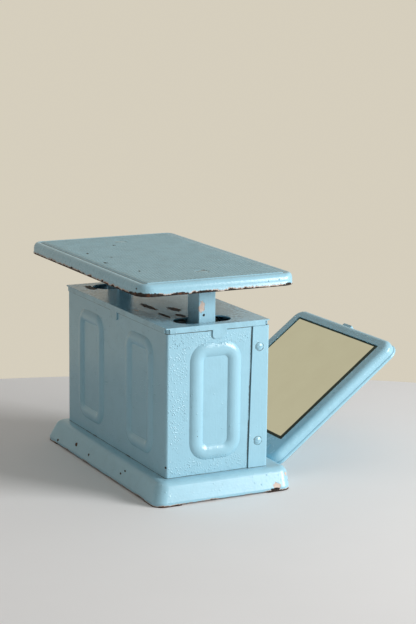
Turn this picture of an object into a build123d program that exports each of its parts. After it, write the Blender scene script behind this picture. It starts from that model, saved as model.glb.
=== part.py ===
from build123d import *
from math import acos, cos, degrees, hypot, pi, radians, sin, sqrt, tan
import os

# Mechanical bathroom scale: a sheet-steel case on a moulded plinth, a raised platform on two
# posts, and a tilting mirror in which the person standing on the platform reads the dial.
# Millimetres. +Z up, dial and mirror at -Y. The sizes count from the middle of the case, and the finished
# pieces are moved along Y so that the origin lies on the floor, below the middle of the whole open scale.

# Sheet and clearances
sheet = 1.2
seam_gap = 0.1
flat_gap = 0.3
running_gap = 0.05
past = 1.0
touch = 0.01

# Plinth
plinth_height = 22.0
plinth_side_ledge = 16.1
plinth_back_ledge = 17.0
plinth_front_ledge = 20.3
plinth_wall = 1.5
plinth_corner = 11.0
plinth_round = 8.5
plinth_slant_low = 4.0
plinth_slant = 7.0
foot_rise = 1.6
foot_length = 27.0

# Case
case_width = 240.0
case_depth = 110.3
case_height = 146.4
shell_corner = 2.4

# Raised bead rings on the shell
ring_height = 115.2
ring_above_plinth = 14.2
bead_rise = 2.6
side_ring_width = 54.8
side_ring_bead = 14.4
side_ring_corner = 11.5
side_ring_y = 2.0
back_ring_width = 61.7
back_ring_bead = 12.6
back_ring_corner = 10.5
back_ring_x = 58.3

# Front cover
flange_top_width = 17.8
flange_bottom_width = 20.8
cover_corner = 2.0
cover_screw_head_radius = 4.0
cover_screw_head_rise = 1.5
cover_screw_radius = 2.0
cover_screw_length = 7.0
cover_screw_slot = 1.0
cover_screw_inset = 10.7
cover_screw_low = 26.8
cover_screw_high = 120.4

# Lid
skirt_height = 5.4
skirt_notch = 3.0
tab_width = 15.0
tab_drop = 8.4
side_tab_y = -1.5
tab_corner = 3.5
slot_length = 59.2
slot_width = 30.0
slot_x = 95.0

# Platform
platform_width = 274.0
platform_depth = 166.2
platform_y = 7.0
platform_gap = 34.8
platform_rim = 11.5
platform_sheet = 1.6
platform_corner = 15.0
platform_round = 6.0
rim_flange = 4.0
tread_inset = 9.7
tread_side_inset = 11.8
tread_corner = 4.0
tread_rise = 0.8
dimple_radius = 6.0
dimple_play = 0.3

# Posts
post_x = 94.0
post_y = 5.2
post_width = 24.0
post_depth = 18.1
post_wall = 2.0
foot_plate = 4.0
bridge_depth = 46.0
bridge_wall = 2.0
bridge_overhang = 14.0
rivet_radius = 2.5
rivet_tail_radius = 4.25
rivet_tail = 1.5
foot_plate_inset = 1.0

# Levers
fulcrum_inset = 8.0
tip_clearance = 6.0
fulcrum_height = 60.0
lever_thickness = 4.0
lever_depth = 8.5
lever_heel = 5.0
lever_above_fulcrum = 6.0
roller_radius = 3.0
roller_length = 12.0
fulcrum_pin_radius = 2.5
bracket_wall = 2.5
bracket_width = 20.0
bracket_foot = 12.0
bracket_half = 5.0
pin_past_cheek = 1.0
bracket_play = 0.2

# Pinion and rack
gear_module = 0.5
pinion_teeth = 16
pressure_angle = 20.0
dial_sweep = 330.0
backlash = 0.16
gear_width = 4.0
tooth_addendum = 0.8
tooth_dedendum = 1.2
rack_width = 5.0
rack_spare = 6.0

# Draw stirrup between the lever tips and the spring
stirrup_inner_half = 9.0
stirrup_wall = 3.0
stirrup_half_width = 10.0
shelf_half_width = 14.0
shelf_thickness = 4.0
stirrup_height = 32.0

# Spring and its hanger
spring_radius = 9.0
spring_wire = 2.4
spring_turns = 9
spring_hook_gap = 1.0
hanger_radius = 3.0
hanger_nut_radius = 6.0
hanger_nut_height = 5.0
hanger_past_nut = 2.0

# Mechanism frame
frame_half_width = 37.0
frame_strap = 3.0
frame_depth = 24.0
frame_headroom = 12.0
frame_foot = 16.0
frame_tab = 16.0
frame_tab_height = 30.0
lever_slot_half = 4.0
frame_screw_radius = 2.5
frame_screw_head = 4.5
frame_screw_past = 3.0
frame_screw_rise = 2.5

# Dial movement
dial_height = 98.0
spindle_radius = 1.5
movement_plate = 2.0
movement_plate_half = 48.0
movement_plate_height = 34.0
movement_spacer = 2.5
pillar_radius = 3.0
bush_radius = 5.0
bush_flange = 7.5
bush_flange_thickness = 1.0
dial_radius = 50.0
dial_sheet = 1.0
dial_boss_radius = 9.0
dial_boss_length = 3.0
window_radius = 48.0
pointer_length = 40.0
pointer_tail = 14.0
pointer_sheet = 0.6
pointer_gap = 2.0
pointer_to_glass = 1.55
pointer_hub_radius = 4.0
pointer_hub_length = 1.5
pointer_tip_half = 0.5
glass_thickness = 2.0
glass_overlap = 3.0
bezel_width = 6.0
bezel_rise = 3.4
bezel_round = 2.4
retainer_thickness = 1.0
retainer_width = 4.0

# Zero adjustment
zero_wheel_radius = 12.0
zero_wheel_width = 2.5
zero_shaft_radius = 2.0
zero_knob_radius = 7.5
zero_knob_length = 7.0
zero_knob_standoff = 2.0
zero_bush_radius = 4.0
knob_ribs = 24
knob_rib_radius = 0.5
knob_round = 1.0
knob_grip = 6.0
zero_bush_flange = 1.5
zero_bush_rise = 1.0
zero_shaft_past = 1.0
wheel_gap = 0.1

# Mirror
mirror_tilt = 52.7
mirror_side_border = 13.5
mirror_top_border = 11.4
mirror_depth = 13.5
mirror_corner = 13.0
mirror_round = 5.5
mirror_bead = 1.9
view_width = 161.0
view_height = 141.6
view_above_hinge = 22.1
view_corner = 1.5
glass_behind_axis = 2.5
mirror_glass_thickness = 3.0
mirror_glass_lap = 5.0
mirror_back_sheet = 0.8
packing_thickness = 2.0
hinge_forward = 1.6
hinge_above_plinth = 0.7
hinge_x = 60.0
hinge_width = 30.0
hinge_knuckle_radius = 2.3
hinge_pin_radius = 1.2
hinge_strap = 1.0
hinge_leaf_length = 15.0
hinge_moving_leaf = 12.0
hinge_rivet_radius = 1.6
hinge_rivet_head = 2.6
hinge_rivet_inset = 4.0
hinge_pin_past = 0.5
hinge_rivet_rise = 0.9
hinge_rivet_pitch = 16.0
pull_width = 16.0
pull_rise = 2.6
pull_thickness = 4.0
pull_from_back = 5.8
pull_round = 1.2

# Places that follow from the sizes above
case_top = plinth_height + case_height
lid_inner = case_top - sheet
half_width = case_width / 2
half_depth = case_depth / 2
shell_half_width = half_width - sheet - seam_gap
shell_half_depth = half_depth - sheet - seam_gap
plinth_half_width = half_width + plinth_side_ledge
plinth_back = half_depth + plinth_back_ledge
plinth_front = -half_depth - plinth_front_ledge
skirt_bottom = case_top - skirt_height
cover_top = skirt_bottom - flat_gap
ring_centre_z = plinth_height + ring_above_plinth + ring_height / 2
platform_bottom = case_top + platform_gap
platform_top = platform_bottom + platform_rim
platform_front = platform_y - platform_depth / 2

fulcrum_x = shell_half_width - sheet - fulcrum_inset
lever_top = fulcrum_height + lever_above_fulcrum
lever_bottom = lever_top - lever_depth
load_x = post_x
tip_x = tip_clearance
load_arm = fulcrum_x - load_x
load_ratio = (fulcrum_x - tip_x) / load_arm
roller_top = lever_top + roller_radius
post_foot_bottom = roller_top + flat_gap
shelf_top = fulcrum_height - roller_radius - flat_gap
stirrup_front = post_y - stirrup_inner_half - stirrup_wall
stirrup_back = post_y + stirrup_inner_half + stirrup_wall
stirrup_top = shelf_top + stirrup_height

pinion_radius = gear_module * pinion_teeth / 2
rack_travel = pinion_radius * radians(dial_sweep)
platform_travel = rack_travel / load_ratio
rack_front = stirrup_front - gear_width

frame_top = lid_inner - frame_headroom
frame_front = post_y - frame_depth / 2
tab_front = frame_front - frame_strap
rear_plate_front = tab_front - movement_spacer - movement_plate
cover_inner = -half_depth + sheet
glass_back = cover_inner + glass_thickness
pointer_back = glass_back + pointer_to_glass + pointer_hub_length + pointer_sheet
dial_front = pointer_back + pointer_gap
dial_back = dial_front + dial_sheet
front_plate_front = dial_back + dial_boss_length
front_plate_back = front_plate_front + movement_plate
spring_top = frame_top - frame_strap - spring_hook_gap
spring_bottom = stirrup_top + spring_hook_gap
zero_z = dial_height - dial_radius - wheel_gap - zero_wheel_radius

mirror_width = view_width + 2 * mirror_side_border
mirror_above_hinge = view_above_hinge + view_height + mirror_top_border
hinge_y = plinth_front + hinge_forward
hinge_z = plinth_height + hinge_above_plinth
tilt = radians(mirror_tilt)
mirror_up = Vector(0, -sin(tilt), cos(tilt))
mirror_out = Vector(0, cos(tilt), sin(tilt))
mirror_place = Plane(origin=(0, hinge_y, hinge_z), x_dir=(-1, 0, 0), z_dir=mirror_out).location

# The rounded lower edge of the mirror frame leans on the rounded front edge of the plinth
edge_centre = Vector(0, plinth_front + plinth_round - hinge_y, plinth_height - plinth_round - hinge_z)
edges_apart = plinth_round + mirror_round + flat_gap
edges_across = edge_centre.dot(mirror_out) + glass_behind_axis + mirror_round
edges_along = sqrt(edges_apart ** 2 - edges_across ** 2)
mirror_bottom = edge_centre.dot(mirror_up) + edges_along - mirror_round

# Middle of the whole open scale along Y, from the mirror's rolled edge to the platform's back
rolled_up = mirror_above_hinge - sheet / 2
rolled_back = glass_behind_axis + mirror_depth - mirror_bead
open_front = hinge_y - rolled_up * sin(tilt) - rolled_back * cos(tilt) - mirror_bead
platform_back = platform_y + platform_depth / 2
centring = Location((0, -(open_front + platform_back) / 2, 0))


def block(x0, x1, y0, y1, z0, z1):
    """Rectangular block between two corners."""
    size = Box(x1 - x0, y1 - y0, z1 - z0)
    return Pos((x0 + x1) / 2, (y0 + y1) / 2, (z0 + z1) / 2) * size


def rod(x, z, radius, y0, y1):
    """Round bar along Y."""
    bar = Cylinder(radius, y1 - y0)
    return Pos(x, (y0 + y1) / 2, z) * Rot(90, 0, 0) * bar


def pillar(x, y, radius, z0, z1):
    """Round bar along Z."""
    return Pos(x, y, (z0 + z1) / 2) * Cylinder(radius, z1 - z0)


def pin(y, z, radius, x0, x1):
    """Round bar along X."""
    bar = Cylinder(radius, x1 - x0)
    return Pos((x0 + x1) / 2, y, z) * Rot(0, 90, 0) * bar


def shared(first, second):
    """What two pieces have in common."""
    return first & second


def placed(piece, place):
    """Solids of a finished piece, moved to their place."""
    return [solid.moved(place) for solid in piece.solids()]


def both_sides(piece):
    """A piece and its mirror image across the YZ plane."""
    return piece.solids() + piece.mirror(Plane.YZ).solids()


def rounded_slab(width, depth, corner, z0, z1, y=0.0):
    """Flat slab with rounded corners seen from above."""
    outline = Pos(0, y, z0) * RectangleRounded(width, depth, corner)
    return extrude(outline, z1 - z0)


def top_edges(piece, z):
    """Edges that lie in the horizontal plane at z."""
    return piece.edges().filter_by_position(Axis.Z, z - touch, z + touch)


def domed_head(radius, rise):
    """Shallow dome with its flat face in XY and its crown towards +Z."""
    cap_radius = (radius ** 2 + rise ** 2) / (2 * rise)
    ball = Pos(0, 0, rise - cap_radius) * Sphere(cap_radius)
    return shared(ball, pillar(0, 0, radius, 0, rise + past))


def save(name, pieces):
    """One STEP file for one named piece or group of like pieces."""
    if not isinstance(pieces, list):
        pieces = [pieces]
    solids = []
    for piece in pieces:
        solids.extend(placed(piece, centring))
    shape = solids[0] if len(solids) == 1 else Compound(solids)
    shape.label = name
    export_step(shape, "parts/" + name + ".step")


# Plinth and case

def plinth_block(margin, bottom, top, corner):
    """Rounded block whose back and sides lean inwards above a low upright edge."""
    width = 2 * (plinth_half_width - margin)
    depth = plinth_back - plinth_front - 2 * margin
    middle = (plinth_back + plinth_front) / 2
    lean = plinth_slant * (top - plinth_slant_low) / (plinth_height - plinth_slant_low)
    foot = Pos(0, middle, plinth_slant_low) * RectangleRounded(width, depth, corner)
    crown = Pos(0, middle - lean / 2, top) * RectangleRounded(width - 2 * lean, depth - lean, corner)
    piece = extrude(foot, bottom - plinth_slant_low) + loft([foot, crown])
    return fillet(top_edges(piece, top), plinth_round - margin)


def base_plinth():
    """Pressed tray, open below, that stands on its four corners."""
    depth = plinth_back - plinth_front
    middle = (plinth_back + plinth_front) / 2
    outer = plinth_block(0, 0, plinth_height, plinth_corner)
    inner = plinth_block(plinth_wall, -past, plinth_height - plinth_wall, plinth_corner - plinth_wall)
    tray = outer - inner
    span_x = plinth_half_width - foot_length
    span_y = depth / 2 - foot_length
    tray -= block(-span_x, span_x, plinth_front - past, plinth_back + past, -past, foot_rise)
    far = plinth_half_width + past
    tray -= block(-far, far, middle - span_y, middle + span_y, -past, foot_rise)
    for x, y in frame_screw_places():
        tray -= pillar(x, y, frame_screw_radius + running_gap, 0, plinth_height + past)
    return tray


def frame_screw_places():
    """Where the mechanism frame and the lever brackets are screwed down."""
    frame_x = frame_half_width + frame_foot / 2
    bracket_y = bracket_width / 2 + bracket_foot / 2
    places = []
    for side in (-1, 1):
        places.append((side * frame_x, post_y))
        places.append((side * fulcrum_x, post_y - bracket_y))
        places.append((side * fulcrum_x, post_y + bracket_y))
    return places


def bead_section(width, rise, depth):
    """Bulged half-section of a bead, its chord across the path and its crown outwards."""
    radius = (width * width / 4 + rise * rise) / (2 * rise)
    inner_radius = radius - depth
    base = -depth
    half = sqrt(inner_radius ** 2 - (radius - rise - depth) ** 2)
    crown = rise - depth
    arc = ThreePointArc((base, -half), (crown, 0), (base, half))
    chord = Line((base, half), (base, -half))
    return make_face([arc, chord])


def bead_ring(width, height, bead, corner, depth):
    """Bead swept round a rounded rectangle, lying in XY with its crown towards +Z."""
    path = RectangleRounded(width - bead, height - bead, corner).wire()
    start = Plane(origin=path @ 0, x_dir=(0, 0, 1), z_dir=path % 0)
    return sweep(start * bead_section(bead, bead_rise, depth), path=path)


def body_shell():
    """Back and two sides in one sheet, with pressed bead rings."""
    z0 = plinth_height
    outer = rounded_slab(2 * shell_half_width, 2 * shell_half_depth, shell_corner, z0, lid_inner)
    inner = rounded_slab(
        2 * (shell_half_width - sheet), 2 * (shell_half_depth - sheet),
        shell_corner - sheet, z0 - past, lid_inner + past)
    shell = outer - inner
    shell -= block(
        -half_width, half_width, -half_depth, -shell_half_depth + shell_corner + sheet,
        z0 - past, lid_inner + past)
    right = Plane(origin=(shell_half_width, side_ring_y, ring_centre_z), x_dir=(0, 1, 0), z_dir=(1, 0, 0))
    left = Plane(origin=(-shell_half_width, side_ring_y, ring_centre_z), x_dir=(0, -1, 0), z_dir=(-1, 0, 0))
    places = [(right, side_ring_width, side_ring_bead, side_ring_corner)]
    places.append((left, side_ring_width, side_ring_bead, side_ring_corner))
    for side in (-1, 1):
        back = Plane(
            origin=(side * back_ring_x, shell_half_depth, ring_centre_z), x_dir=(-1, 0, 0), z_dir=(0, 1, 0))
        places.append((back, back_ring_width, back_ring_bead, back_ring_corner))
    for plane, width, bead, corner in places:
        shell += plane * bead_ring(width, ring_height, bead, corner, 0.0)
        shell -= plane * bead_ring(width, ring_height, bead, corner, sheet)
    for x, y, z in cover_screw_places():
        shell -= pin(y, z, cover_screw_radius + running_gap, x - cover_screw_length, x + cover_screw_length)
    return shell


def cover_screw_places():
    """Centres of the four screws, on the outer face of the cover's side flanges."""
    y = -half_depth + cover_screw_inset
    places = []
    for side in (-1, 1):
        for up in (cover_screw_low, cover_screw_high):
            places.append((side * half_width, y, plinth_height + up))
    return places


def front_cover():
    """Front sheet with the dial window and two side flanges that lap the shell."""
    z0 = plinth_height
    outer = block(-half_width, half_width, -half_depth, half_depth, z0, cover_top)
    front_edges = outer.edges().filter_by(Axis.Z).group_by(Axis.Y)[0]
    outer = fillet(front_edges, cover_corner)
    inner = block(
        -half_width + sheet, half_width - sheet, cover_inner, half_depth + past, z0 - past, cover_top + past)
    cover = outer - inner
    top_y = -half_depth + flange_top_width
    bottom_y = -half_depth + flange_bottom_width
    far = half_depth + past
    low = z0 - past
    high = cover_top + past
    behind = Polyline((bottom_y, low), (far, low), (far, high), (top_y, high), close=True)
    cut = extrude(Plane.YZ * make_face(behind), half_width + past, both=True)
    cover -= cut
    cover -= rod(0, dial_height, window_radius, -half_depth - past, cover_inner + past)
    cover -= rod(0, zero_z, zero_bush_radius, -half_depth - past, cover_inner + past)
    for x, y, z in cover_screw_places():
        cover -= pin(y, z, cover_screw_radius + running_gap, x - cover_screw_length, x + cover_screw_length)
    return cover


def cover_screws():
    """Round-headed slotted screws through the flanges."""
    radius = cover_screw_head_radius
    rise = cover_screw_head_rise
    slot = cover_screw_slot / 2
    head = domed_head(radius, rise) - block(-radius, radius, -slot, slot, rise / 2, rise + past)
    screw = head + pillar(0, 0, cover_screw_radius, -cover_screw_length, 0)
    screws = []
    for x, y, z in cover_screw_places():
        side = 1 if x > 0 else -1
        place = Plane(origin=(x, y, z), x_dir=(0, 1, 0), z_dir=(side, 0, 0)).location
        screws.extend(placed(screw, place))
    return screws


def lid():
    """Flat top with short skirts, a tab in the middle of three skirts and two post slots."""
    top = block(-half_width, half_width, -half_depth, half_depth, lid_inner, case_top)
    piece = top
    x_end = half_width - sheet - skirt_notch
    y_end = half_depth - sheet - skirt_notch
    for side in (-1, 1):
        x_in = side * (half_width - sheet)
        x_out = side * half_width
        low, high = min(x_in, x_out), max(x_in, x_out)
        piece += block(low, high, -y_end, y_end, skirt_bottom, lid_inner)
        y_in = side * (half_depth - sheet)
        y_out = side * half_depth
        near, far = min(y_in, y_out), max(y_in, y_out)
        piece += block(-x_end, x_end, near, far, skirt_bottom, lid_inner)
        tab_place = Plane(origin=(x_in, side_tab_y, skirt_bottom), x_dir=(0, side, 0), z_dir=(side, 0, 0))
        piece += lid_tab(tab_place)
        slot = Rot(0, 0, 90) * SlotOverall(slot_length, slot_width)
        piece -= extrude(Pos(side * slot_x, post_y, lid_inner - past) * slot, sheet + 2 * past)
    piece += lid_tab(Plane(origin=(0, half_depth - sheet, skirt_bottom), x_dir=(-1, 0, 0), z_dir=(0, 1, 0)))
    return piece


def lid_tab(plane):
    """Tongue below a skirt, with round lower corners."""
    tab = extrude(RectangleRounded(tab_width, 2 * tab_drop, tab_corner), sheet)
    return plane * (tab - block(-tab_width, tab_width, 0, 2 * tab_drop, -past, sheet + past))


# Dial window

def dial_bezel():
    """Rolled ring round the window, with a sleeve through the cover."""
    outer = window_radius + bezel_width
    ring = rod(0, dial_height, outer, -half_depth - bezel_rise, -half_depth)
    front = ring.edges().filter_by(GeomType.CIRCLE).group_by(Axis.Y)[0]
    ring = fillet(front, bezel_round)
    ring += rod(0, dial_height, window_radius, -half_depth - past, cover_inner)
    ring -= rod(0, dial_height, window_radius - sheet, -half_depth - bezel_rise - past, cover_inner + past)
    return ring


def dial_glass():
    """Flat glass behind the window."""
    return rod(0, dial_height, window_radius + glass_overlap, cover_inner, glass_back)


def glass_retainer():
    """Stepped ring that holds the glass against the cover."""
    back = glass_back
    outer = window_radius + glass_overlap + retainer_width
    edge = window_radius + glass_overlap + seam_gap
    ring = rod(0, dial_height, outer, cover_inner, back + retainer_thickness)
    ring -= rod(0, dial_height, edge, cover_inner - past, back)
    ring -= rod(0, dial_height, window_radius, cover_inner - past, back + retainer_thickness + past)
    return ring


# Lever system

def lever_bracket(side):
    """Forked bracket that carries one lever's fulcrum pin."""
    cheek_in = lever_thickness / 2 + bracket_play
    cheek_out = cheek_in + bracket_wall
    x = side * fulcrum_x
    half = bracket_half
    floor = plinth_height
    top = fulcrum_height + half
    reach = bracket_width / 2 + bracket_foot
    piece = block(x - half, x + half, post_y - reach, post_y + reach, floor, floor + bracket_wall)
    for turn in (-1, 1):
        low = post_y + turn * cheek_in
        high = post_y + turn * cheek_out
        piece += block(x - half, x + half, min(low, high), max(low, high), floor, top)
        foot_y = post_y + turn * (bracket_width / 2 + bracket_foot / 2)
        bore = frame_screw_radius + running_gap
        piece -= pillar(x, foot_y, bore, floor - past, floor + bracket_wall + past)
    piece -= rod(x, fulcrum_height, fulcrum_pin_radius, post_y - reach, post_y + reach)
    return piece


def fulcrum_pin(side):
    """Pin fixed in the bracket's two cheeks."""
    reach = lever_thickness / 2 + bracket_play + bracket_wall + pin_past_cheek
    return rod(side * fulcrum_x, fulcrum_height, fulcrum_pin_radius, post_y - reach, post_y + reach)


def lever(side):
    """Flat bar from the fulcrum to the middle, with a load roller and a tip roller."""
    heel = fulcrum_x + lever_heel
    shoulder = load_x - load_arm
    deep = fulcrum_height - lever_above_fulcrum
    outline = Polyline(
        (tip_x, lever_bottom), (shoulder, lever_bottom), (load_x, deep), (heel, deep),
        (heel, lever_top), (tip_x, lever_top), close=True)
    bar = extrude(Plane.XZ * make_face(outline), lever_thickness / 2, both=True)
    bar = Pos(0, post_y, 0) * bar
    y0 = post_y - roller_length / 2
    y1 = post_y + roller_length / 2
    bar += rod(load_x, lever_top, roller_radius, y0, y1)
    bar += rod(tip_x, fulcrum_height, roller_radius, y0, y1)
    bore = fulcrum_pin_radius + running_gap
    bar -= rod(fulcrum_x, fulcrum_height, bore, y0, y1)
    if side < 0:
        bar = bar.mirror(Plane.YZ)
    return bar


def draw_stirrup():
    """Closed loop: the lever tips press on its shelf and the spring pulls its top."""
    shelf_bottom = shelf_top - shelf_thickness
    loop = block(
        -shelf_half_width, shelf_half_width, stirrup_front, stirrup_back, shelf_bottom, shelf_top)
    loop += block(
        -stirrup_half_width, stirrup_half_width, stirrup_front, stirrup_back, shelf_bottom, stirrup_top)
    loop -= block(
        -shelf_half_width, shelf_half_width, stirrup_front + stirrup_wall, stirrup_back - stirrup_wall,
        shelf_top, stirrup_top - stirrup_wall)
    loop -= pillar(0, post_y, hanger_radius, stirrup_top - stirrup_wall - past, stirrup_top + past)
    return loop


def rack():
    """Toothed bar on the front of the stirrup, left of the pinion seen from the dial side."""
    pitch = pi * gear_module
    half_angle = tan(radians(pressure_angle))
    addendum = tooth_addendum * gear_module
    dedendum = tooth_dedendum * gear_module
    thick = pitch / 4 - backlash / 2
    root = -pinion_radius - dedendum
    inside = root - seam_gap
    tip = -pinion_radius + addendum
    bottom = shelf_top
    top = dial_height + rack_travel + rack_spare
    bar = block(root - rack_width, root, rack_front, stirrup_front, bottom, top)
    first = -int(rack_spare / pitch)
    last = int((rack_travel + rack_spare) / pitch)
    for number in range(first, last):
        z = dial_height + (number + 0.5) * pitch
        wide = thick + dedendum * half_angle
        narrow = thick - addendum * half_angle
        outline = Polyline(
            (inside, z - wide), (tip, z - narrow), (tip, z + narrow), (inside, z + wide), close=True)
        tooth = extrude(Plane.XZ * make_face(outline), gear_width)
        bar += Pos(0, stirrup_front, 0) * tooth
    return bar


def pinion():
    """Small spur pinion on the spindle."""
    base = pinion_radius * cos(radians(pressure_angle))
    tip = pinion_radius + tooth_addendum * gear_module
    root = pinion_radius - tooth_dedendum * gear_module
    pitch_half = pi / (2 * pinion_teeth) - backlash / (2 * pinion_radius)
    pressure = radians(pressure_angle)
    start = tan(pressure) - pressure
    flank = []
    for radius in (base, pinion_radius, tip):
        angle = acos(min(1.0, base / radius))
        flank.append((radius, pitch_half + start - (tan(angle) - angle)))
    flank.insert(0, (root, flank[0][1]))
    points = []
    for number in range(pinion_teeth):
        middle = pi + 2 * pi * number / pinion_teeth
        for radius, half in flank:
            points.append((radius * cos(middle - half), radius * sin(middle - half)))
        for radius, half in reversed(flank):
            points.append((radius * cos(middle + half), radius * sin(middle + half)))
    wheel = extrude(Plane.XZ * make_face(Polyline(*points, close=True)), gear_width)
    wheel = Pos(0, stirrup_front, dial_height) * wheel
    wheel -= rod(0, dial_height, spindle_radius, rack_front - past, stirrup_front + past)
    return wheel


def main_spring():
    """Close coil between the hanger and the stirrup, with plain ends."""
    height = spring_top - spring_bottom - spring_wire
    pitch = height / spring_turns
    path = Helix(pitch, height, spring_radius)
    start = Plane(origin=path @ 0, z_dir=path % 0)
    coil = sweep(start * Circle(spring_wire / 2), path=path)
    return Pos(0, post_y, spring_bottom + spring_wire / 2) * coil


def spring_hanger():
    """Threaded rod that holds the spring's top and goes up through the frame."""
    top = frame_top + hanger_nut_height + hanger_past_nut
    bolt = pillar(0, post_y, hanger_radius, spring_top - 2 * spring_wire, top)
    plate_low = spring_top - 2 * spring_wire
    bolt += pillar(0, post_y, spring_radius - spring_wire / 2 - flat_gap, plate_low, plate_low + spring_wire)
    return bolt


def hanger_nut():
    """Hexagon nut on top of the frame."""
    outline = Pos(0, post_y, frame_top) * RegularPolygon(hanger_nut_radius, 6)
    nut = extrude(outline, hanger_nut_height)
    return nut - pillar(0, post_y, hanger_radius, frame_top - past, frame_top + hanger_nut_height + past)


def spring_anchor():
    """Lower bolt of the spring, riveted into the stirrup's top."""
    low = stirrup_top - stirrup_wall
    high = spring_bottom + 2 * spring_wire
    bolt = pillar(0, post_y, hanger_radius, low, high)
    radius = spring_radius - spring_wire / 2 - flat_gap
    return bolt + pillar(0, post_y, radius, high - spring_wire, high)


# Mechanism frame and movement

def mechanism_frame():
    """Inverted U of strap over the levers, with slots for them and tabs for the movement."""
    y0 = post_y - frame_depth / 2
    y1 = post_y + frame_depth / 2
    floor = plinth_height
    outer = frame_half_width
    inner = outer - frame_strap
    piece = block(-outer, outer, y0, y1, floor, frame_top)
    piece -= block(-inner, inner, y0 - past, y1 + past, floor - past, frame_top - frame_strap)
    for side in (-1, 1):
        near = side * outer
        far = side * (outer + frame_foot)
        piece += block(min(near, far), max(near, far), y0, y1, floor, floor + frame_strap)
        hole_x = side * (outer + frame_foot / 2)
        bore = frame_screw_radius + running_gap
        piece -= pillar(hole_x, post_y, bore, floor - past, floor + frame_strap + past)
        tab_near = side * inner
        tab_far = side * (outer + frame_tab)
        piece += block(
            min(tab_near, tab_far), max(tab_near, tab_far), tab_front, frame_front,
            dial_height - frame_tab_height / 2, dial_height + frame_tab_height / 2)
        slot_near = side * (inner - past)
        slot_far = side * (outer + past)
        piece -= block(
            min(slot_near, slot_far), max(slot_near, slot_far), post_y - lever_slot_half,
            post_y + lever_slot_half, lever_bottom - rack_travel, lever_top + 2 * past)
    piece -= pillar(0, post_y, hanger_radius + running_gap, frame_top - frame_strap - past, frame_top + past)
    return piece


def frame_screws():
    """Screws that hold the frame and the lever brackets to the plinth."""
    screws = []
    for x, y in frame_screw_places():
        on_frame = abs(x) < fulcrum_x
        seat = plinth_height + (frame_strap if on_frame else bracket_wall)
        shank = pillar(x, y, frame_screw_radius, plinth_height - plinth_wall - frame_screw_past, seat)
        head = pillar(x, y, frame_screw_head, seat, seat + frame_screw_rise)
        screws.append(shank + head)
    return screws


def pillar_places():
    """Centres of the movement's four pillars, seen along Y."""
    x = frame_half_width + frame_tab / 2
    z = frame_tab_height / 2 - 2 * pillar_radius
    places = []
    for side in (-1, 1):
        for up in (-1, 1):
            places.append((side * x, dial_height + up * z))
    return places


def movement_plate_at(front, bore):
    """One of the two plates that carry the spindle."""
    half_height = movement_plate_height / 2
    plate = block(
        -movement_plate_half, movement_plate_half, front, front + movement_plate,
        dial_height - half_height, dial_height + half_height)
    return plate - rod(0, dial_height, bore, front - past, front + movement_plate + past)


def rear_plate():
    """Plate next to the pinion."""
    return movement_plate_at(rear_plate_front, bush_radius)


def front_plate():
    """Plate behind the dial."""
    return movement_plate_at(front_plate_front, bush_radius)


def movement_spacers():
    """Short spacers between the frame's tabs and the rear plate."""
    spacers = []
    for x, z in pillar_places():
        spacers.append(rod(x, z, pillar_radius, tab_front - movement_spacer, tab_front))
    return spacers


def movement_pillars():
    """Long pillars between the two plates."""
    pillars = []
    for x, z in pillar_places():
        pillars.append(rod(x, z, pillar_radius, front_plate_back, rear_plate_front))
    return pillars


def rear_bush():
    """Flanged bush of the spindle in the rear plate."""
    y = rear_plate_front
    bush = rod(0, dial_height, bush_radius, y, y + movement_plate)
    flange_front = y - bush_flange_thickness
    bush += rod(0, dial_height, bush_flange, flange_front, y)
    bore = spindle_radius + running_gap
    return bush - rod(0, dial_height, bore, flange_front - past, y + movement_plate + past)


def front_bush():
    """Flanged bush on which the dial turns and in which the spindle runs."""
    y = front_plate_front
    bush = rod(0, dial_height, bush_radius, dial_front, y + movement_plate)
    back = y + movement_plate + bush_flange_thickness
    bush += rod(0, dial_height, bush_flange, y + movement_plate, back)
    return bush - rod(0, dial_height, spindle_radius + running_gap, dial_front - past, back + past)


def spindle():
    """Shaft from the pinion to the pointer."""
    front = pointer_back - pointer_sheet - pointer_hub_length
    return rod(0, dial_height, spindle_radius, front, stirrup_front)


def pointer():
    """Tapered needle with a round boss and a counterweight tail."""
    half = pointer_hub_radius
    outline = Polyline(
        (-half / 2, 0), (-half, -pointer_tail), (half, -pointer_tail), (half / 2, 0),
        (pointer_tip_half, pointer_length), (-pointer_tip_half, pointer_length), close=True)
    needle = extrude(Plane.XZ * make_face(outline), pointer_sheet)
    needle = Pos(0, pointer_back, dial_height) * needle
    boss = rod(0, dial_height, pointer_hub_radius, pointer_back - pointer_sheet, pointer_back)
    front = pointer_back - pointer_sheet
    return needle + boss - rod(0, dial_height, spindle_radius, front - past, pointer_back + past)


def pointer_hub():
    """Brass collar that grips the pointer on the spindle."""
    back = pointer_back - pointer_sheet
    front = back - pointer_hub_length
    hub = rod(0, dial_height, pointer_hub_radius, front, back)
    return hub - rod(0, dial_height, spindle_radius, front - past, back + past)


def dial_plate():
    """Thin disc with a boss that turns on the front bush."""
    disc = rod(0, dial_height, dial_radius, dial_front, dial_back)
    boss = rod(0, dial_height, dial_boss_radius, dial_back, front_plate_front - flat_gap)
    bore = bush_radius + running_gap
    return disc + boss - rod(0, dial_height, bore, dial_front - past, front_plate_front + past)


# Zero adjustment

def zero_wheel():
    """Rubber-faced wheel that drives the edge of the dial."""
    middle = (dial_front + dial_back) / 2
    wheel = rod(0, zero_z, zero_wheel_radius, middle - zero_wheel_width / 2, middle + zero_wheel_width / 2)
    return wheel - rod(0, zero_z, zero_shaft_radius, middle - zero_wheel_width, middle + zero_wheel_width)


def zero_shaft():
    """Shaft through the front cover."""
    middle = (dial_front + dial_back) / 2
    front = -half_depth - zero_knob_standoff - knob_grip
    return rod(0, zero_z, zero_shaft_radius, front, middle + zero_wheel_width / 2 + zero_shaft_past)


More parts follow.
